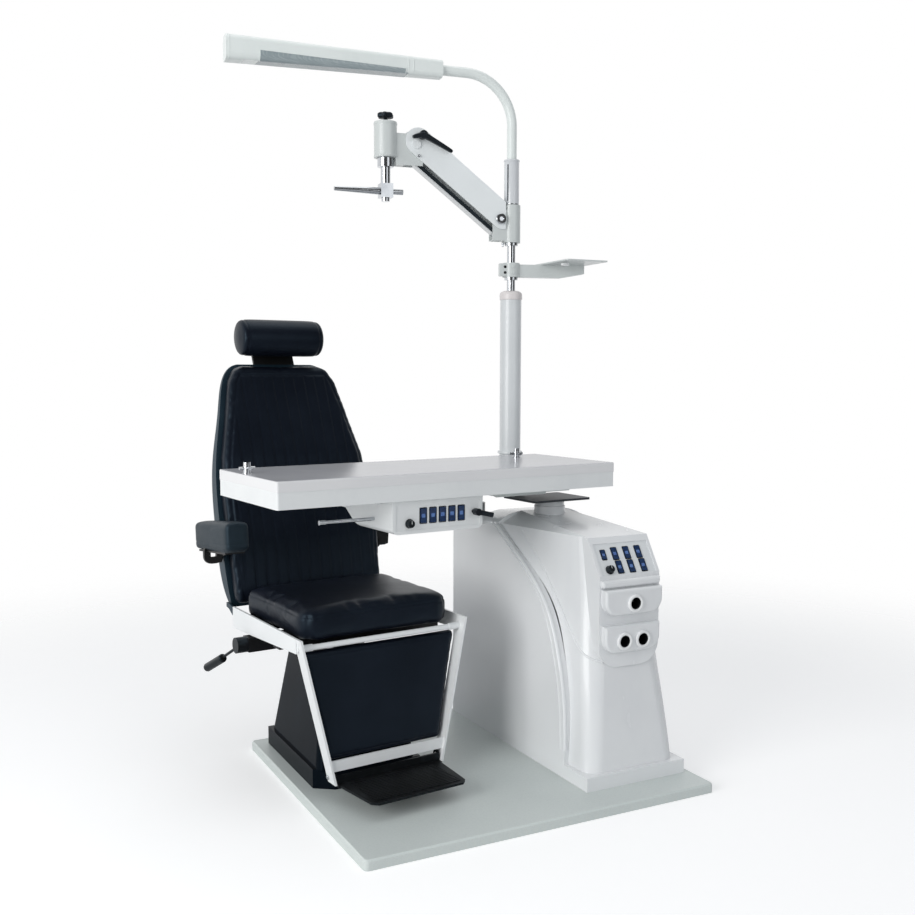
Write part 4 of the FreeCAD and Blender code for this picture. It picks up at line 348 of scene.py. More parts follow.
NODE_FINISHES = (
    (BOARD, "platform"), (BLACK_COVER, "chair_base_cover"), (GREY_STEEL, "chair_lift_outer table_column_outer"),
    (CHROME, "chair_lift_ram table_column_inner table_posts release_rod head_spindle"),
    (BLACK_STEEL, "seat_carrier headrest_stem armrest_left_bracket armrest_right_bracket"),
    (FRAME_PAINT, "leg_frame"), (MAT_RUBBER, "footplate"), (DARK_SHELL, "back_shell"),
    (BLACK_PLASTIC, "lock_lever console_knob power_unit table_knob brake_lever head_knob clamp_lever"),
    (WHITE_PAINT, "cabinet_shell"), (COWL_WHITE, "cabinet_cowl holder_rings"), (PANEL_WHITE, "console_panel"),
    (DARK_TRAY, "small_tray"), (CAST_GREY_WITH_PAINTED_SHADE, "table_arm upper_tray arm_hub arm_head"), (TABLE_TOP, "table_board"),
    (BOX_WHITE, "table_skirt switch_box"), (POLE_SILVER, "pole_outer"), (POLE_STEEL, "pole_inner"),
    (BEAM_GREY, "arm_beam"), (LINK_METAL, "arm_link"), (LAMP_WHITE, "lamp_tube lamp_housing"), (LENS, "lamp_lens"),
)


def dress(node, finish):
    """Gives a carried-over solid its finish."""
    for place in cad[node].material_slots:
        place.material = finish
    if not cad[node].material_slots:
        cad[node].data.materials.append(finish)


# Surfaces worked out on grids; a form is an array of points and a list of faces

def placed(points, seat):
    """Points of the chair's or the table's own frame turned about the upright and moved to their place."""
    right, front = headings(seat[2])
    return points @ np.stack([right, -front, UP]) + (seat[0], seat[1], 0.0)


def seated(points, origin, right, up):
    """Points drawn flat, x right, y up and z towards the viewer, laid in a plane in space."""
    return points @ np.stack([right, up, np.cross(right, up)]) + origin


def moved(form, *shift):
    return form[0] + shift, form[1]


def laid(form, plane, shift=(0.0, 0.0, 0.0)):
    """A form drawn flat, shifted there and laid in a plane."""
    return seated(form[0] + shift, *plane), form[1]


def new_object(name, points, faces):
    mesh = bpy.data.meshes.new(name)
    mesh.from_pydata(np.asarray(points).tolist(), [], faces)
    return linked(name, mesh)


def piece(name, form, body, finish):
    """A smooth mesh object made from a form, riding on a body.  Every face is turned to point out of the closed
    shape, and edges sharper than 40 degrees are marked."""
    made = new_object(name, *form)
    made.data.shade_smooth()
    made.data.materials.append(finish)
    shape = bmesh.new()
    shape.from_mesh(made.data)
    bmesh.ops.recalc_face_normals(shape, faces=shape.faces)
    shape.to_mesh(made.data)
    shape.free()
    made.data.set_sharp_from_angle(angle=math.radians(40.0))
    made.data.update()
    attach(made, body)
    return made


def block_grid(counts):
    """The six sides of a cube from -1 to 1, each a grid of points, welded where they meet."""
    points, faces, base = [], [], 0
    lines = [np.linspace(-1.0, 1.0, count + 1) for count in counts]
    for axis in range(3):
        first, second = (axis + 1) % 3, (axis + 2) % 3
        a, b = np.meshgrid(lines[first], lines[second], indexing="ij")
        rows, columns = a.shape
        index = np.arange(rows * columns).reshape(rows, columns)
        quads = np.stack([index[:-1, :-1], index[1:, :-1], index[1:, 1:], index[:-1, 1:]], -1).reshape(-1, 4)
        for side in (-1.0, 1.0):
            grid = np.empty((rows * columns, 3))
            grid[:, axis] = side
            grid[:, first] = a.ravel()
            grid[:, second] = b.ravel()
            points.append(grid)
            faces.append((quads if side > 0 else quads[:, ::-1]) + base)
            base += rows * columns
    points, faces = np.vstack(points), np.vstack(faces)
    whole, place = np.unique(np.round(points, 9), axis=0, return_inverse=True)
    return whole, place.reshape(-1)[faces].tolist()


def round_block(half, radius, counts):
    """A block with round edges: each point of the cube is drawn back to the inner block, then pushed out from it
    by the edge radius in the direction of what was left over."""
    unit, faces = block_grid(counts)
    half = np.asarray(half, float)
    far = unit * half
    inner = np.clip(far, -(half - radius), half - radius)
    over = far - inner
    length = np.maximum(np.linalg.norm(over, axis=1, keepdims=True), 1e-9)
    return inner + over / length * radius, faces


def turned_form(profile, turns=56, lobes=0, lobe_share=0.0):
    """A profile of (radius, height) points carried round the upright axis; with lobes the radius swells and falls
    by a cosine of the angle.  Each end closes in one point on the axis."""
    profile = np.asarray(profile, float)
    angle = np.linspace(0.0, 2.0 * np.pi, turns, endpoint=False)
    radius = profile[:, :1] * (1.0 + lobe_share * np.cos(lobes * angle))
    levels = np.repeat(profile[:, 1:], turns, axis=1)
    rings = np.stack([radius * np.cos(angle), radius * np.sin(angle), levels], -1)
    return closed_tube(rings, (0, 0, profile[0, 1]), (0, 0, profile[-1, 1]))


def closed_tube(rings, first_pole, last_pole):
    """Rows of closed rings joined by squares, with a fan of triangles to a pole at each end."""
    columns = rings.shape[1]
    index = np.arange(rings[..., 0].size).reshape(-1, columns)
    after = np.roll(index, -1, 1)
    quads = np.stack([index[:-1], after[:-1], after[1:], index[1:]], -1).reshape(-1, 4)
    fans = np.vstack([np.stack([after[0], index[0], np.full(columns, index.size)], 1),
                      np.stack([index[-1], after[-1], np.full(columns, index.size + 1)], 1)])
    return np.vstack([rings.reshape(-1, 3), [first_pole, last_pole]]), quads.tolist() + fans.tolist()


def softened(profile, share=0.25, most=0.004):
    """A profile whose inner corners are each replaced by four points of a parabola between its two sides."""
    p = np.asarray(profile, float)
    before, after = p[:-2] - p[1:-1], p[2:] - p[1:-1]
    a, b = [side * np.minimum(share, most / np.maximum(np.linalg.norm(side, axis=1, keepdims=True), 1e-9))
            for side in (before, after)]
    t = np.array((0.0, 0.33, 0.67, 1.0))[None, :, None]
    inner = p[1:-1, None] + a[:, None] * (1 - t) ** 2 + b[:, None] * t ** 2
    return np.vstack([p[:1], inner.reshape(-1, p.shape[1]), p[-1:]])


def tube_form(path, widths, heights, section_power=2.0, turns=24):
    """A super-ellipse section carried along a path: at each point it stands square to the path, with its own
    width and height.  The ends are closed."""
    path = np.asarray(path, float)
    along = np.gradient(path, axis=0)
    along /= np.linalg.norm(along, axis=1, keepdims=True)
    side = np.cross(along, UP)
    side = np.where(np.linalg.norm(side, axis=1, keepdims=True) < 1e-4, RIGHT, side)
    side /= np.linalg.norm(side, axis=1, keepdims=True)
    angle = np.linspace(0.0, 2.0 * np.pi, turns, endpoint=False)
    c, s = [np.sign(wave) * np.abs(wave) ** (2.0 / section_power) for wave in (np.cos(angle), np.sin(angle))]
    widths, heights = [np.broadcast_to(size, len(path))[:, None, None] for size in (widths, heights)]
    rings = path[:, None] + side[:, None] * c[:, None] * widths + np.cross(side, along)[:, None] * s[:, None] * heights
    return closed_tube(rings, path[0], path[-1])


def line_between(*corners, steps=8):
    """Points set evenly on straight runs between the corners, closer together near each corner."""
    corners = np.asarray(corners, float)
    t = (1.0 - np.cos(np.linspace(0.0, np.pi, steps + 1)[:-1])) / 2.0
    runs = corners[:-1, None] + (corners[1:] - corners[:-1])[:, None] * t[None, :, None]
    return np.vstack([runs.reshape(-1, corners.shape[1]), corners[-1:]])


def round_outline(half_x, half_y, corner, steps=6):
    """A rectangle with quarter-circle corners, going round against the clock."""
    turn = np.linspace(0.0, np.pi / 2, steps)
    parts = []
    for quarter, (sx, sy) in enumerate(((1, 1), (-1, 1), (-1, -1), (1, -1))):
        angle = turn + quarter * np.pi / 2
        parts.append(np.stack([sx * (half_x - corner) + corner * np.cos(angle),
                               sy * (half_y - corner) + corner * np.sin(angle)], 1))
    return np.vstack(parts)


def circle(radius, turns=64):
    """Points going round a circle against the clock."""
    turn = np.linspace(0.0, 2.0 * np.pi, turns, endpoint=False)
    return np.stack([np.cos(turn), np.sin(turn)], 1) * radius


def rings_round(outline, offsets, levels):
    """A closed plan outline pushed outward by each offset and set at each level."""
    step = np.roll(outline, -1, 0) - np.roll(outline, 1, 0)
    normal = np.stack([step[:, 1], -step[:, 0]], 1)
    normal /= np.linalg.norm(normal, axis=1, keepdims=True)
    rings = outline + normal * np.reshape(offsets, (-1, 1, 1))
    return np.concatenate([rings, np.repeat(np.reshape(levels, (-1, 1, 1)), len(outline), axis=1)], -1)


def slab_form(outline, low, high, edge):
    """A plan outline raised from one height to another, its top edge rounded by a quarter circle."""
    turn = np.linspace(0.0, np.pi / 2, 5)
    insets = np.concatenate([[edge * 0.3, 0.0], edge * (1 - np.cos(turn)), [edge * 1.6]])
    levels = np.concatenate([[low, low + edge * 0.3], high - edge + edge * np.sin(turn), [high]])
    middle = outline.mean(0)
    return closed_tube(rings_round(outline, -insets, levels), (*middle, low), (*middle, high))


def ring_form(outline, profile):
    """A closed profile of (outward, height) points carried round a closed plan outline."""
    rings = rings_round(outline, *np.transpose(profile))
    index = np.arange(rings[..., 0].size).reshape(rings.shape[:2])
    after = np.roll(index, -1, 1)
    faces = np.stack([index, after, np.roll(after, -1, 0), np.roll(index, -1, 0)], -1)
    return rings.reshape(-1, 3), faces.reshape(-1, 4).tolist()


def smooth_step(value, low, high):
    """0 below low, 1 above high and 3t^2 - 2t^3 between."""
    t = np.clip((value - low) / (high - low), 0.0, 1.0)
    return t * t * (3.0 - 2.0 * t)


def at_vertices(mesh, what):
    """Each vertex's place, "co", or outward direction, "normal"."""
    flat = np.empty(len(mesh.vertices) * 3)
    mesh.vertices.foreach_get(what, flat)
    return flat.reshape(-1, 3)


def set_points(mesh, points):
    mesh.vertices.foreach_set("co", np.ascontiguousarray(points).ravel())
    mesh.update()


def with_modifiers(made):
    """The mesh that an object's modifiers give, put in place of its own."""
    bpy.context.view_layer.update()
    graph = bpy.context.evaluated_depsgraph_get()
    mesh = bpy.data.meshes.new_from_object(made.evaluated_get(graph))
    made.modifiers.clear()
    old = made.data
    made.data = mesh
    bpy.data.meshes.remove(old)


def puffed(name, form, voxel, pressure, cap):
    """Cloth filled with air: the closed form is remeshed in even squares, blown up for twenty frames, and no
    point may move further than the cap.  The result gets one subdivision."""
    made = new_object(name, *form)
    remesh = made.modifiers.new("even", "REMESH")
    remesh.mode = "VOXEL"
    remesh.voxel_size = voxel
    with_modifiers(made)
    rest = at_vertices(made.data, "co")
    cloth = made.modifiers.new("cover", "CLOTH")
    settings = cloth.settings
    settings.use_pressure = True
    settings.uniform_pressure_force = pressure
    settings.effector_weights.gravity = 0.0
    settings.tension_stiffness = 12.0
    settings.compression_stiffness = 12.0
    settings.bending_stiffness = 2.0
    cloth.point_cache.frame_start = 1
    cloth.point_cache.frame_end = 20
    for step in range(1, 21):
        bpy.context.scene.frame_set(step)
    with_modifiers(made)
    move = at_vertices(made.data, "co") - rest
    length = np.maximum(np.linalg.norm(move, axis=1, keepdims=True), 1e-9)
    set_points(made.data, rest + move / length * (cap * np.tanh(length / cap)))
    bpy.context.scene.frame_set(1)
    finer = made.modifiers.new("finer", "SUBSURF")
    finer.levels = 1
    finer.render_levels = 1
    with_modifiers(made)
    made.data.shade_smooth()
    return made, at_vertices(made.data, "co"), at_vertices(made.data, "normal")


def covered(made, places, body, finish, node):
    """Gives a soft piece its sewn form, its cover, its body and the solid that it stands for."""
    set_points(made.data, places)
    made.data.materials.clear()
    made.data.materials.append(finish)
    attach(made, body)
    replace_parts(made, node)


# Upholstery

def seam_depth(distance, width):
    """A sewn line: exp(-(d / w)^2), 1 on the line and nothing beside it."""
    return np.exp(-(distance / width) ** 2)


def make_seat_cushion():
    """A boxed cushion: a round-edged block whose top crowns by a cosine each way, whose sides draw in between
    the corners, with a sewn seam round the top panel."""
    half = np.array((0.2205, 0.1895, 0.0368))
    points, faces = round_block(half, 0.02, (46, 42, 11))
    across, along, up = (points / half).T
    corner = 0.052
    inner = np.clip(points[:, :2], corner - half[:2], (half[0] - corner, half[1]))
    over = points[:, :2] - inner
    length = np.linalg.norm(over, axis=1)
    pull = np.where(length > 1e-9, np.abs(over).max(1) / np.maximum(length, 1e-9), 1.0)
    points[:, :2] = inner + over * pull[:, None]
    points[:, 2] += 0.007 * np.cos(across * np.pi / 2) * np.cos(along * np.pi / 2) * np.maximum(up, 0.0)
    points += (0.0, -0.045, 0.4603)
    made, places, normals = puffed("seat_cushion_cover", (points, faces), 0.006, 3.5, 0.01)
    edge = np.minimum(half[0] - np.abs(places[:, 0]), half[1] - np.abs(places[:, 1] + 0.045))
    places[:, 2] = np.maximum(places[:, 2], 0.4238 + 0.0067 * smooth_step(edge, 0.008, 0.024))
    depth = seam_depth(places[:, 2] - 0.4845, 0.0022) * (np.abs(normals[:, 2]) < 0.82)
    places -= normals * depth[:, None] * 0.0022
    covered(made, placed(places, CHAIR), "chair_seat", NAVY_VINYL, "seat_cushion")


BACK_LEVELS = (0.44, 0.476, 0.611, 0.728, 0.847, 0.98, 1.06, 1.096, 1.11)
BACK_HALVES = (0.226, 0.233, 0.242, 0.24, 0.228, 0.196, 0.174, 0.15, 0.118)
BACK_FRONTS = (0.172, 0.175, 0.2, 0.236, 0.272, 0.322, 0.356, 0.371, 0.38)


def make_back_cushion():
    """A tall pad: a round-edged block whose width, front and lean follow the back's levels, puffed, then laid
    flat against the shell and sewn in upright channels of equal pitch inside a plain border."""
    half = (0.232, 0.021, 0.33)
    points, faces = round_block(half, 0.009, (46, 6, 64))
    level = 0.776 + points[:, 2]
    wide = np.interp(level, BACK_LEVELS, BACK_HALVES) - 0.0035
    front = np.interp(level, BACK_LEVELS, BACK_FRONTS)
    local = np.stack([points[:, 0] / half[0] * wide, front + 0.024 + points[:, 1], level], 1)
    made, places, normals = puffed("back_cushion_cover", (local, faces), 0.006, 3.0, 0.007)
    level = places[:, 2]
    wide = np.interp(level, BACK_LEVELS, BACK_HALVES)
    rear = np.interp(level, BACK_LEVELS, BACK_FRONTS) + 0.0455
    places[:, 1] = np.minimum(places[:, 1], rear)
    border = np.minimum(wide - 0.026 - np.abs(places[:, 0]), 1.08 - level)
    pitch = 0.0335
    phase = np.abs((places[:, 0] / pitch + 0.5) % 1.0 - 0.5) * pitch
    sewn = 0.0022 * seam_depth(phase, 0.0032) * smooth_step(border, 0.0, 0.012) + 0.002 * seam_depth(border, 0.0035)
    places[:, 1] += smooth_step(-normals[:, 1], 0.35, 0.8) * sewn
    places[:, 0] = np.clip(places[:, 0], -wide - 0.002, wide + 0.002)
    covered(made, placed(places, CHAIR), "backrest", NAVY_VINYL, "back_cushion")


def leg_half(level):
    """Half the gap between the legs: a straight taper from the seat down."""
    return 0.242 - 0.084 * (0.442 - level) / (0.442 - 0.07)


def make_leg_pad():
    """A flat upholstered board between the legs: a round-edged block that narrows downward and leans."""
    half = (0.19, 0.0125, 0.139)
    points, faces = round_block(half, 0.008, (48, 4, 36))
    level = 0.265 + points[:, 2]
    front = np.interp(level, (0.126, 0.404), (-0.2597, -0.232)) + 0.0148
    crown = 0.0035 * np.cos(points[:, 0] / half[0] * np.pi / 2) * (points[:, 1] < 0)
    local = np.stack([points[:, 0] / half[0] * (leg_half(level) - 0.0095), front + points[:, 1] - crown, level], 1)
    made, places, normals = puffed("leg_pad_cover", (local, faces), 0.006, 2.0, 0.003)
    level = places[:, 2]
    wide = leg_half(level) - 0.0063
    places[:, 0] = np.clip(places[:, 0], -wide, wide)
    edge = np.minimum(wide - np.abs(places[:, 0]), np.minimum(0.404 - level, level - 0.126))
    places[:, 1] += 0.0018 * seam_depth(edge - 0.012, 0.0028) * smooth_step(-normals[:, 1], 0.4, 0.8)
    covered(made, placed(places, CHAIR), "chair_seat", NAVY_VINYL, "leg_pad")


def leaned(points, degrees, y, z):
    """Points turned in the y-z plane about the line at y and z."""
    angle = math.radians(degrees)
    a, b = points[..., 1] - y, points[..., 2] - z
    return np.stack([points[..., 0], y + a * math.cos(angle) - b * math.sin(angle),
                     z + a * math.sin(angle) + b * math.cos(angle)], -1)


def make_headrest():
    """A bolster: leaning ovals along its length.  Their size loses a tenth with the eighth power of the distance
    from the middle and closes along a quarter circle at either end.  It is puffed and has a sewn ring near each
    end."""
    y, z = 0.388, 1.188
    along = np.linspace(-1.0, 1.0, 60)[:, None]
    end = np.clip((np.abs(along) - 0.92) / 0.084, 0.0, 1.0)
    girth = (1.0 - 0.1 * along ** 8) * np.sqrt(np.clip(1.0 - end ** 2, 0.004, 1.0))
    oval = circle(1.0, 72) * (0.05, 0.0545)
    rings = np.stack([along * 0.132 + 0.0 * oval[:, 0], y + girth * oval[:, 0], z + girth * oval[:, 1]], -1)
    form = closed_tube(leaned(rings, -18.0, y, z), (-0.1325, y, z), (0.1325, y, z))
    made, places, normals = puffed("headrest_cover", form, 0.005, 4.0, 0.006)
    places -= normals * (seam_depth(np.abs(places[:, 0]) - 0.113, 0.0028) * 0.0018)[:, None]
    covered(made, placed(places, CHAIR), "head_roll", NAVY_VINYL, "headrest_roll")


ARMREST_PIVOT = (0.245, 0.574)


def armrest_form():
    """The pad at rest height: a round-edged block, taller at the front, its lower front corner cut back, its top
    crowned by a cosine."""
    half = np.array((0.0315, 0.1235, 0.036))
    points, faces = round_block(half, 0.0115, (14, 44, 16))
    across, along, up = (points / half).T
    nose = smooth_step(-points[:, 1], half[1] - 0.034, half[1])
    points[:, 2] += 0.0025 * (1.0 - along) * up
    up = points[:, 2] / half[2]
    points[:, 2] += nose * 0.009 * np.maximum(-up, 0.0) + 0.0025 * np.cos(across * np.pi / 2) * (up > 0)
    return points + (0.2795, 0.145, 0.6372), faces


def make_armrests():
    """Both pads: the same form, mirrored for the left, leaned about its pivot to its rest.  Under each is a steel
    frame: a ring whose section is a flat bar, carried round a small rounded window."""
    bar = ((0.0, -0.006), (0.0175, -0.006), (0.0185, -0.005), (0.0185, 0.005), (0.0175, 0.006), (0.0, 0.006))
    for side, degrees, name in ((-1.0, -5.0, "left"), (1.0, -84.0, "right")):
        label, body = "armrest_" + name, name + "_armrest"
        made, places, normals = puffed(label + "_cover", armrest_form(), 0.004, 3.0, 0.0015)
        places[:, 2] = np.maximum(places[:, 2], 0.6002)
        places -= normals * (seam_depth(places[:, 2] - 0.622, 0.0014) * 0.001)[:, None]
        places[:, 0] *= side
        if side < 0:
            made.data.flip_normals()
        covered(made, placed(leaned(places, degrees, *ARMREST_PIVOT), CHAIR), body, ARM_SKIN, label + "_pad")
        points, faces = laid(ring_form(round_outline(0.0085, 0.009, 0.002), bar),
                             ((side * 0.283, 0.205, 0.589), RIGHT, UP))
        piece(label + "_frame", (placed(leaned(points, degrees, *ARMREST_PIVOT), CHAIR), faces), body, BLACK_STEEL)


# Console and switch box

SLOPE_LEAN = math.radians(32.1)
SLOPE = ((CABINET_X, -0.235, 0.659), RIGHT, (0.0, math.sin(SLOPE_LEAN), math.cos(SLOPE_LEAN)))
BOX_FACE = ((TABLE[0], TABLE[1], 0.0), headings(TABLE[2])[0], UP)


def span(node, plane):
    """Lowest and highest place of a CAD solid, seen flat in a plane: x right, y up and z towards the viewer."""
    origin, right, up = plane
    seen = (at_vertices(cad[node].data, "co") - origin) @ np.stack([right, up, np.cross(right, up)]).T
    return seen.min(0), seen.max(0)


def make_rocker_dressing(node, plane, panel_body):
    """A dark frame round the rocker, as a closed band carried round a round-cornered rectangle, and a lit window
    in the rocker's dip."""
    dress(node, BLUE)
    low, high = span(node, plane)
    middle, half = (*(low + high)[:2] / 2, 0.0), (high - low) / 2
    face = high[2] - 0.003
    band = ((0.0, face - 0.001), (0.0, face + 0.001), (0.0003, face + 0.0013), (0.0012, face + 0.0013),
            (0.0016, face + 0.0009), (0.0016, face - 0.001))
    frame_form = ring_form(round_outline(half[0] + 0.0008, half[1] + 0.0008, 0.0012), band)
    piece(node + "_frame", laid(frame_form, plane, middle), panel_body, BLACK_PLASTIC)
    window = slab_form(round_outline(half[0] * 0.6, half[1] * 0.27, 0.0016), face - 0.001, face + 0.0022, 0.0006)
    piece(node + "_window", laid(window, plane, middle), node, BLUE_WINDOW)


def make_panel_knob(node, plane):
    """A control knob: a skirt and a fluted, slightly tapered grip, from one turned profile whose radius ripples
    with the angle, with a raised pointer line."""
    low, high = span(node, plane)
    x, y = (low + high)[:2] / 2
    foot = high[2] - 0.014
    profile = softened(((0.0, low[2]), (0.003, low[2]), (0.003, foot), (0.0118, foot), (0.0118, foot + 0.0026),
                        (0.01, foot + 0.004), (0.0093, foot + 0.0126), (0.008, foot + 0.014),
                        (0.0, foot + 0.014)), 0.3, 0.0008)
    knob = piece(node + "_grip", laid(turned_form(profile, 84, 14, 0.028), plane, (x, y, 0.0)), node, BLACK_PLASTIC)
    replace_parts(knob, node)
    pointer = slab_form(round_outline(0.0006, 0.004, 0.0005, 3), foot + 0.013, foot + 0.0145, 0.0002)
    piece(node + "_pointer", laid(pointer, plane, (x, y + 0.0036, 0.0)), node, PANEL_WHITE)


def make_console_details():
    for prefix, count, plane, body in (("console", 7, SLOPE, "base"), ("table", 5, BOX_FACE, "table")):
        for number in range(1, count + 1):
            make_rocker_dressing(prefix + "_rocker_" + str(number), plane, body)
        make_panel_knob(prefix + "_knob", plane)


# Cabinet

HOLDERS = ((0.0, -0.319, 0.495), (-0.029, -0.314, 0.397), (0.029, -0.314, 0.397))


def make_holders():
    """Each instrument holder: a ring, as an ellipse carried round a circle, and a black cup let into the bore: painted
    shade for the bore's dark depth.
    """
    lip = ring_form(circle(0.0195), circle(1.0, 14) * (0.0042, 0.0032) + (0.0, 0.0006))
    bore_shade_cup = turned_form(((0.0, -0.0862), (0.01508, -0.0862), (0.01508, 0.0012), (0.0144, 0.0012), (0.0144, -0.085),
                       (0.0, -0.085)), 48)
    for number, (across, front, level) in enumerate(HOLDERS, 1):
        plane = ((CABINET_X + across, front, level), RIGHT, UP)
        piece("holder_lip_" + str(number), laid(lip, plane), "base", LIP_WHITE)
        # The black cup is painted shade: it darkens the bore where only shade falls.
        piece("holder_cup_" + str(number), laid(bore_shade_cup, plane), "base", MAT_RUBBER)


HOOD_EDGE = ((0.185, 0.042, 0.646), (0.1858, -0.0139, 0.6042), (0.1874, -0.0807, 0.5465), (0.1884, -0.1207, 0.503),
             (0.19, -0.1586, 0.4601), (0.1923, -0.195, 0.4152), (0.1947, -0.2207, 0.385), (0.2, -0.2471, 0.3607),
             (0.212, -0.2662, 0.349), (0.237, -0.2812, 0.34))
SWEEP = ((-0.228, 0.1), (-0.219, 0.24), (-0.19, 0.35), (-0.142, 0.451), (-0.012, 0.562), (0.14, 0.652))


def through(points, count):
    """A natural cubic spline through the points, with the chord lengths as its parameter."""
    points = np.asarray(points, float)
    knots = np.concatenate([[0.0], np.cumsum(np.linalg.norm(np.diff(points, axis=0), axis=1))])
    gaps = np.diff(knots)
    size = len(points)
    rows = np.eye(size)
    right = np.zeros_like(points)
    inner = np.arange(1, size - 1)
    rows[inner, inner - 1] = gaps[:-1]
    rows[inner, inner] = 2.0 * (gaps[:-1] + gaps[1:])
    rows[inner, inner + 1] = gaps[1:]
    slopes = np.diff(points, axis=0) / gaps[:, None]
    right[inner] = 6.0 * (slopes[1:] - slopes[:-1])
    bend = np.linalg.solve(rows, right)
    t = np.linspace(0.0, knots[-1], count)
    run = np.clip(np.searchsorted(knots, t, side="right") - 1, 0, size - 2)
    gap, rest = gaps[run][:, None], (t - knots[run])[:, None]
    left = gap - rest
    near, far = [points[place] / gap - bend[place] * gap / 6.0 for place in (run, run + 1)]
    return (bend[run] * left ** 3 + bend[run + 1] * rest ** 3) / (6.0 * gap) + near * left + far * rest


def make_cabinet_details():
    """Beads along the side shell's sweeping front edge: a round section carried along a spline through the
    edge's points; and a collar round the tray's turret."""
    curve = through(SWEEP, 90)
    for side, name in ((-1.0, "left"), (1.0, "right")):
        for back, proud, size, label in ((0.0005, 0.153, 0.0056, "edge"), (0.021, 0.1545, 0.0034, "crease")):
            path = np.stack([np.full(len(curve), CABINET_X + side * proud), curve[:, 0] + back, curve[:, 1]], 1)
            piece("cabinet_" + label + "_" + name, tube_form(path, size, size * 0.7, 2.0, 14), "base", WHITE_PAINT)
    piece("cowl_hood_edge", tube_form(through(HOOD_EDGE, 80), 0.0042, 0.003, 2.0, 14), "base", COWL_WHITE)
    profile = ((0.0, 0.668), (0.0448, 0.668), (0.0448, 0.7045), (0.0425, 0.7055), (0.0425, 0.719), (0.0, 0.719))
    collar = moved(turned_form(softened(profile, 0.4, 0.0015), 64), 0.31, 0.096, 0.0)
    piece("turret_collar", collar, "base", COWL_WHITE)


# Pole, lamp and arm

POLE = (0.29, 0.293)
ARM_TURN = -8.0
LAMP_TURN = -7.6
LAMP_LEVEL = 1.962
HOUSING_ENDS = (0.318, 0.843)
LENS_ENDS = (0.337, 0.752)


def ring_round(name, inner, outer, low, high, finish, body, rim=0.0012, dome=0.0):
    """A sleeve round the pole: a closed profile with rounded rims carried round a circle."""
    wall = outer - inner
    bulge = np.linspace(0.0, np.pi / 2, 8)
    top = np.stack([wall * np.cos(bulge), high + dome * np.sin(bulge)], 1) if dome else np.array(
        ((wall, high - rim), (wall - rim * 0.4, high - rim * 0.3), (wall - rim, high)))
    profile = np.vstack([((0.0, low), (wall - rim, low), (wall, low + rim)), top, ((0.0, high + dome),)])
    piece(name, moved(ring_form(circle(inner), profile), *POLE, 0.0), body, finish)


def make_pole_details():
    ring_round("pole_cap", 0.0131, 0.034, 1.306, 1.322, CAP_IVORY, "table", 0.002, 0.012)
    ring_round("pole_foot_ring", 0.0322, 0.0375, 0.8423, 0.85, POLE_SILVER, "table")
    ring_round("lamp_sleeve", 0.0186, 0.0226, 1.5895, 1.7205, SLEEVE_SATIN, "pole", 0.0016)
    ring_round("lamp_sleeve_rim", 0.0186, 0.0235, 1.715, 1.7208, SLEEVE_SATIN, "pole", 0.001)
    out, back = headings(210.8)
    # A thin black strip laid in the sleeve's slot: painted shade for the slot's dark inside.
    slot_shade_form = slab_form(round_outline(0.0019, 0.054, 0.0018), -0.001, 0.0004, 0.0002)
    plane = (np.array((*POLE, 1.652)) + out * 0.0226, -back, UP)
    piece("lamp_sleeve_slot_shade", laid(slot_shade_form, plane), "pole", BLACK_PLASTIC)


def lamp_size(reach):
    """Half the lamp housing's height and half its depth at a reach from the pole."""
    return [np.interp(reach, HOUSING_ENDS, ends) for ends in ((0.025, 0.034), (0.0255, 0.0327))]


def lamp_front(reach, drop, proud):
    """A place on the housing's rounded front, a drop below its middle line and a little proud of it: the depth
    follows a quarter circle below the flat part."""
    half, depth = lamp_size(reach)
    corner = 0.55 * half
    sine = np.clip((drop - (half - corner)) / corner, 0.0, 1.0)
    cosine = np.sqrt(1.0 - sine ** 2)
    return np.stack([-reach, -drop - proud * sine, depth - corner + (corner + proud) * cosine], -1)


def make_lamp_details():
    """The diffuser's front, as a band over the housing's rounded lower front; its rim; and three bands where
    the end cap, the tube carrier and the collar meet."""
    right, front = headings(LAMP_TURN)
    middle = (*POLE, LAMP_LEVEL)
    plane = (middle, right, UP)
    reach = np.linspace(*LENS_ENDS, 60)[:, None]
    top = np.interp(reach, (0.336, 0.753), (0.0118, 0.004))
    low = lamp_size(reach)[0] - 0.0012
    drop = top + (low - top) * np.linspace(0.0, 1.0, 16)
    outer = lamp_front(reach + 0.0 * drop, drop, 0.0007)
    inner = lamp_front(reach + 0.0 * drop, drop, -0.0012)[:, ::-1]
    rings = np.concatenate([outer, inner], 1)
    lens = closed_tube(rings, rings[0].mean(0), rings[-1].mean(0))
    piece("lamp_lens_front", laid(lens, plane), "lamp", LENS)
    up_right = lamp_front(np.full(12, LENS_ENDS[0]), np.linspace(low[0, 0], top[0, 0], 12), 0.0007)
    along = lamp_front(reach[:, 0], top[:, 0], 0.0007)
    down_left = lamp_front(np.full(12, LENS_ENDS[1]), np.linspace(top[-1, 0], low[-1, 0], 12), 0.0007)
    rim = tube_form(np.vstack([up_right[:-1], along, down_left[1:]]), 0.0011, 0.0009, 2.0, 10)
    piece("lamp_lens_rim", laid(rim, plane), "lamp", LAMP_WHITE)
    for number, place in enumerate((0.3145, 0.3295, 0.8345), 1):
        half, depth = lamp_size(place)
        band = ring_form(round_outline(depth, half, 0.55 * half, 10),
                         ((-0.001, -0.0012), (0.0004, -0.001), (0.0007, 0.0), (0.0004, 0.001), (-0.001, 0.0012)))
        piece("lamp_band_" + str(number), laid(band, (middle - right * place, front, UP)), "lamp", LAMP_WHITE)


def arm_plane(reach=0.0, out=0.0, level=0.0):
    """The arm's front side: origin at a reach from the pole and a distance out, right towards the pole."""
    right, front = headings(ARM_TURN)
    return np.array((*POLE, level)) - right * reach + front * out, right, UP


# A dark screw's finish, slot and number of sides
DARK_SCREW = (BLACK_STEEL, "lever_black", 24)


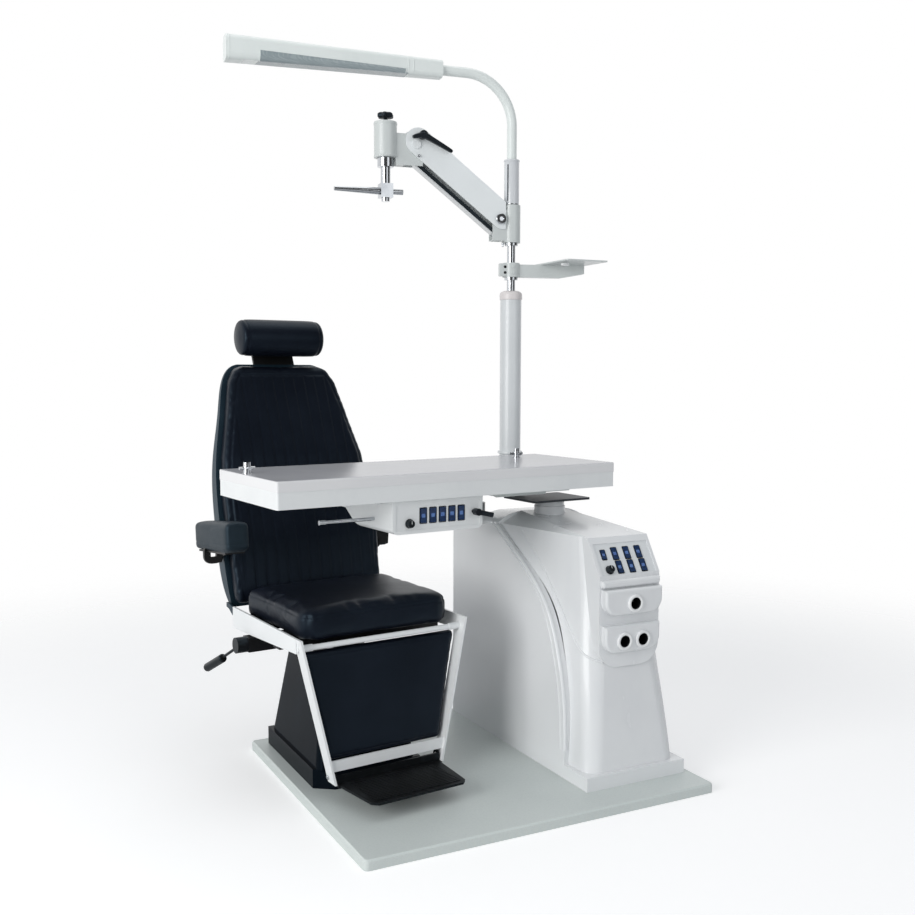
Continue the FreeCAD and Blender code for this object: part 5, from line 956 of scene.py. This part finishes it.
def make_screw(name, plane, radius, height, body, finish=CHROME, slot="chrome", sides=48):
    """A domed screw head: a turned profile, flat under the head and an arc over it, with a socket sunk in its top,
    turned round where the real one is a hexagon.
    """
    arc = np.linspace(0.0, np.pi / 2, 7)[:-1]
    dome = np.stack([radius * np.cos(arc) ** 0.8, height * (0.35 + 0.65 * np.sin(arc))], 1)
    socket = ((radius * 0.42, height * 0.99), (radius * 0.38, height * 0.5), (0.0, height * 0.45))
    profile = np.vstack([((0.0, -0.001), (radius, -0.001)), dome[dome[:, 0] > radius * 0.45], socket])
    piece(name, laid(turned_form(profile, sides), plane), body, finish)


def make_arm_details():
    """The pivot bolt and the cover screw on the beam's front, and the black strip along its length."""
    origin, right, up = arm_plane()
    front = span("arm_beam", (origin, right, up))[1][2]
    make_screw("arm_pivot_bolt", arm_plane(0.043, front, 1.543), 0.016, 0.006, "arm_beam")
    make_screw("arm_cover_screw", arm_plane(0.298, front, 1.709), 0.0042, 0.002, "arm_beam")
    low, high = np.array((0.056, 1.503)), np.array((0.296, 1.6855))
    half = np.linalg.norm(high - low) / 2
    along = (high - low) / (2 * half)
    middle = (low + high) / 2
    strip_right = -right * along[0] + (0.0, 0.0, along[1])
    plane = (origin - right * middle[0] + (0.0, 0.0, middle[1]), strip_right,
             np.cross(np.cross(right, up), strip_right))
    strip = slab_form(round_outline(half, 0.0055, 0.002), -0.013, 0.013, 0.001)
    piece("arm_black_strip", laid(strip, plane), "arm_beam", BLACK_PLASTIC)


def make_head_details():
    """The star knob, a turned form whose radius swells in six lobes, and the head's bright rings."""
    low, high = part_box("head_knob")
    top = high[2]
    profile = softened(((0.0, low[2]), (0.005, low[2]), (0.005, top - 0.0175), (0.015, top - 0.0175),
                        (0.0215, top - 0.0145), (0.0215, top - 0.005), (0.016, top - 0.0008), (0.0, top)),
                       0.35, 0.002)
    star = moved(turned_form(profile, 84, 6, 0.13), (low[0] + high[0]) / 2, (low[1] + high[1]) / 2, 0.0)
    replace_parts(piece("star_knob", star, "head_knob", BLACK_PLASTIC), "head_knob")
    centre = arm_plane(0.391)[0]
    for name, level, thick in (("head_top_ring", 1.796, 0.0034), ("head_foot_ring", 1.705, 0.0022)):
        band = ((-0.003, -thick), (0.0018, -thick), (0.0026, -thick * 0.4), (0.0026, thick * 0.4), (0.0018, thick),
                (-0.003, thick))
        ring = moved(ring_form(circle(0.0315), band), centre[0], centre[1], level)
        piece(name, ring, "arm_head", CAST_GREY_WITH_PAINTED_SHADE)


def make_clamp_lever():
    """The clamping lever: a round boss and a handle whose width grows from its heel to the boss and then tapers to its
    tip.
    """
    low, high = span("clamp_lever", arm_plane())
    back, front = low[2], high[2]
    hub, heel, tip = (-0.289, 1.766), (-0.321, 1.758), (-0.202, 1.724)
    t = np.linspace(0.0, 1.0, 34)
    x, y = [np.interp(t, (0.0, 0.22, 1.0), (heel[axis], hub[axis], tip[axis])) for axis in (0, 1)]
    handle = seated(np.stack([x, y, front - 0.0085 + 0.002 * np.sin(np.pi * t)], 1), *arm_plane())
    width = np.interp(t, (0.0, 0.04, 0.2, 0.3, 0.88, 0.97, 1.0),
                      (0.0055, 0.0085, 0.0115, 0.011, 0.0078, 0.0068, 0.0045))
    lever = piece("clamp_handle", tube_form(handle, width, width * 0.72, 2.6, 24), "arm_clamp", BLACK_PLASTIC)
    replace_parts(lever, "clamp_lever")
    profile = ((0.0, back), (0.0105, back), (0.0125, front - 0.016), (0.0125, front - 0.002),
               (0.0105, front + 0.0005), (0.0, front + 0.0005))
    boss = turned_form(softened(profile, 0.35, 0.0015), 48)
    piece("clamp_boss", laid(boss, arm_plane(), (*hub, 0.0)), "arm_clamp", BLACK_PLASTIC)
    make_screw("clamp_screw", arm_plane(0.289, front + 0.0004, 1.766), 0.0058, 0.0022, "arm_clamp")


def make_tray_details():
    """A clamp block on the tray's arm with two dark screws, a white bracket with its screw under the plate, and
    the stop screw under the arm's hub."""
    right, front = headings(-17.0)
    origin = np.array((*POLE, 1.395)) - right * 0.026 + front * 0.01
    block = round_block((0.0135, 0.019, 0.011), 0.002, (8, 8, 6))
    piece("tray_clamp_block", laid(block, (origin, right, UP)), "upper_tray", CAST_GREY_WITH_PAINTED_SHADE)
    for number, shift in enumerate((-0.0085, 0.0085), 1):
        plane = (origin + front * 0.011 + (0.0, 0.0, shift) + right * 0.003, right, UP)
        make_screw("tray_clamp_screw_" + str(number), plane, 0.0042, 0.0016, "upper_tray", *DARK_SCREW)
    right = headings(-3.0)[0]
    bracket = laid(round_block((0.0105, 0.004, 0.0062), 0.0012, (6, 4, 5)), ((0.3905, 0.1505, 1.4056), right, UP))
    piece("tray_bracket", bracket, "upper_tray", LIP_WHITE)
    make_screw("tray_bracket_screw", ((0.3965, 0.1463, 1.406), right, UP), 0.0034, 0.0016, "upper_tray", *DARK_SCREW)
    profile = ((0.0, 1.464), (0.0022, 1.464), (0.003, 1.4655), (0.003, 1.47), (0.0048, 1.47), (0.0048, 1.4762),
               (0.0, 1.4762))
    stop = moved(turned_form(softened(profile, 0.25, 0.0006), 24), 0.264, 0.299, 0.0)
    piece("hub_stop_screw", stop, "arm_hub", CHROME)


# Chair frame

def make_frame_details():
    """A thicker sleeve at either end of the front rod, and a bolt through each leg's foot."""
    lean = math.radians(12.7)
    profile = ((0.0, -0.001), (0.0062, -0.001), (0.0062, 0.0024), (0.0035, 0.004), (0.0, 0.004))
    bolt = turned_form(softened(profile, 0.3, 0.0008), 36)
    for side, name in ((-1.0, "left"), (1.0, "right")):
        run = line_between((side * 0.1985, -0.236, 0.416), (side * 0.2352, -0.236, 0.416))
        sleeve, faces = tube_form(run, 0.0089, 0.0089, 2.0, 28)
        piece("rod_sleeve_" + name, (placed(sleeve, CHAIR), faces), "chair_seat", FRAME_PAINT)
        facing, right = (side * math.cos(lean), 0.0, -math.sin(lean)), (0.0, side, 0.0)
        points, faces = laid(bolt, ((side * 0.1612, -0.2426, 0.083), right, np.cross(facing, right)))
        piece("foot_bolt_" + name, (placed(points, CHAIR), faces), "chair_seat", CHROME)


def make_stage():
    """A wide pale floor that fades into the backdrop with distance and keeps the soft shadow."""
    size = 14.0
    floor = new_object("floor", [(-size, -size, 0), (size, -size, 0), (size, size, 0), (-size, size, 0)],
                       [(0, 1, 2, 3)])
    f = Finish("pale_floor")
    away = f.make("ShaderNodeVectorMath", out=1, settings={"operation": "LENGTH"}, i0=f.place)
    seen = f.make("ShaderNodeLightPath", out="Is Camera Ray")
    lit = f.make("ShaderNodeBsdfDiffuse", Color=grey(0.8))
    glow = f.make("ShaderNodeEmission", Color=grey(1.0), Strength=0.36)
    both = f.make("ShaderNodeAddShader", i0=lit, i1=glow)
    shown = f.make("ShaderNodeMixShader", i0=seen, i1=lit, i2=both)
    clear = f.make("ShaderNodeBsdfTransparent", Color=grey(1.0))
    fade = f.make("ShaderNodeMixShader", i0=away.between(1.3, 3.4), i1=shown, i2=clear)
    fade.make("ShaderNodeOutputMaterial", Surface="self")
    floor.data.materials.append(f.material)


bpy.context.scene.view_settings.view_transform = "Standard"
make_camera()
make_lights()
make_stage()
for finish, names in NODE_FINISHES:
    for node in names.split():
        dress(node, finish)
make_seat_cushion()
make_back_cushion()
make_leg_pad()
make_headrest()
make_armrests()
make_console_details()
make_holders()
make_cabinet_details()
make_pole_details()
make_lamp_details()
make_arm_details()
make_head_details()
make_clamp_lever()
make_tray_details()
make_frame_details()
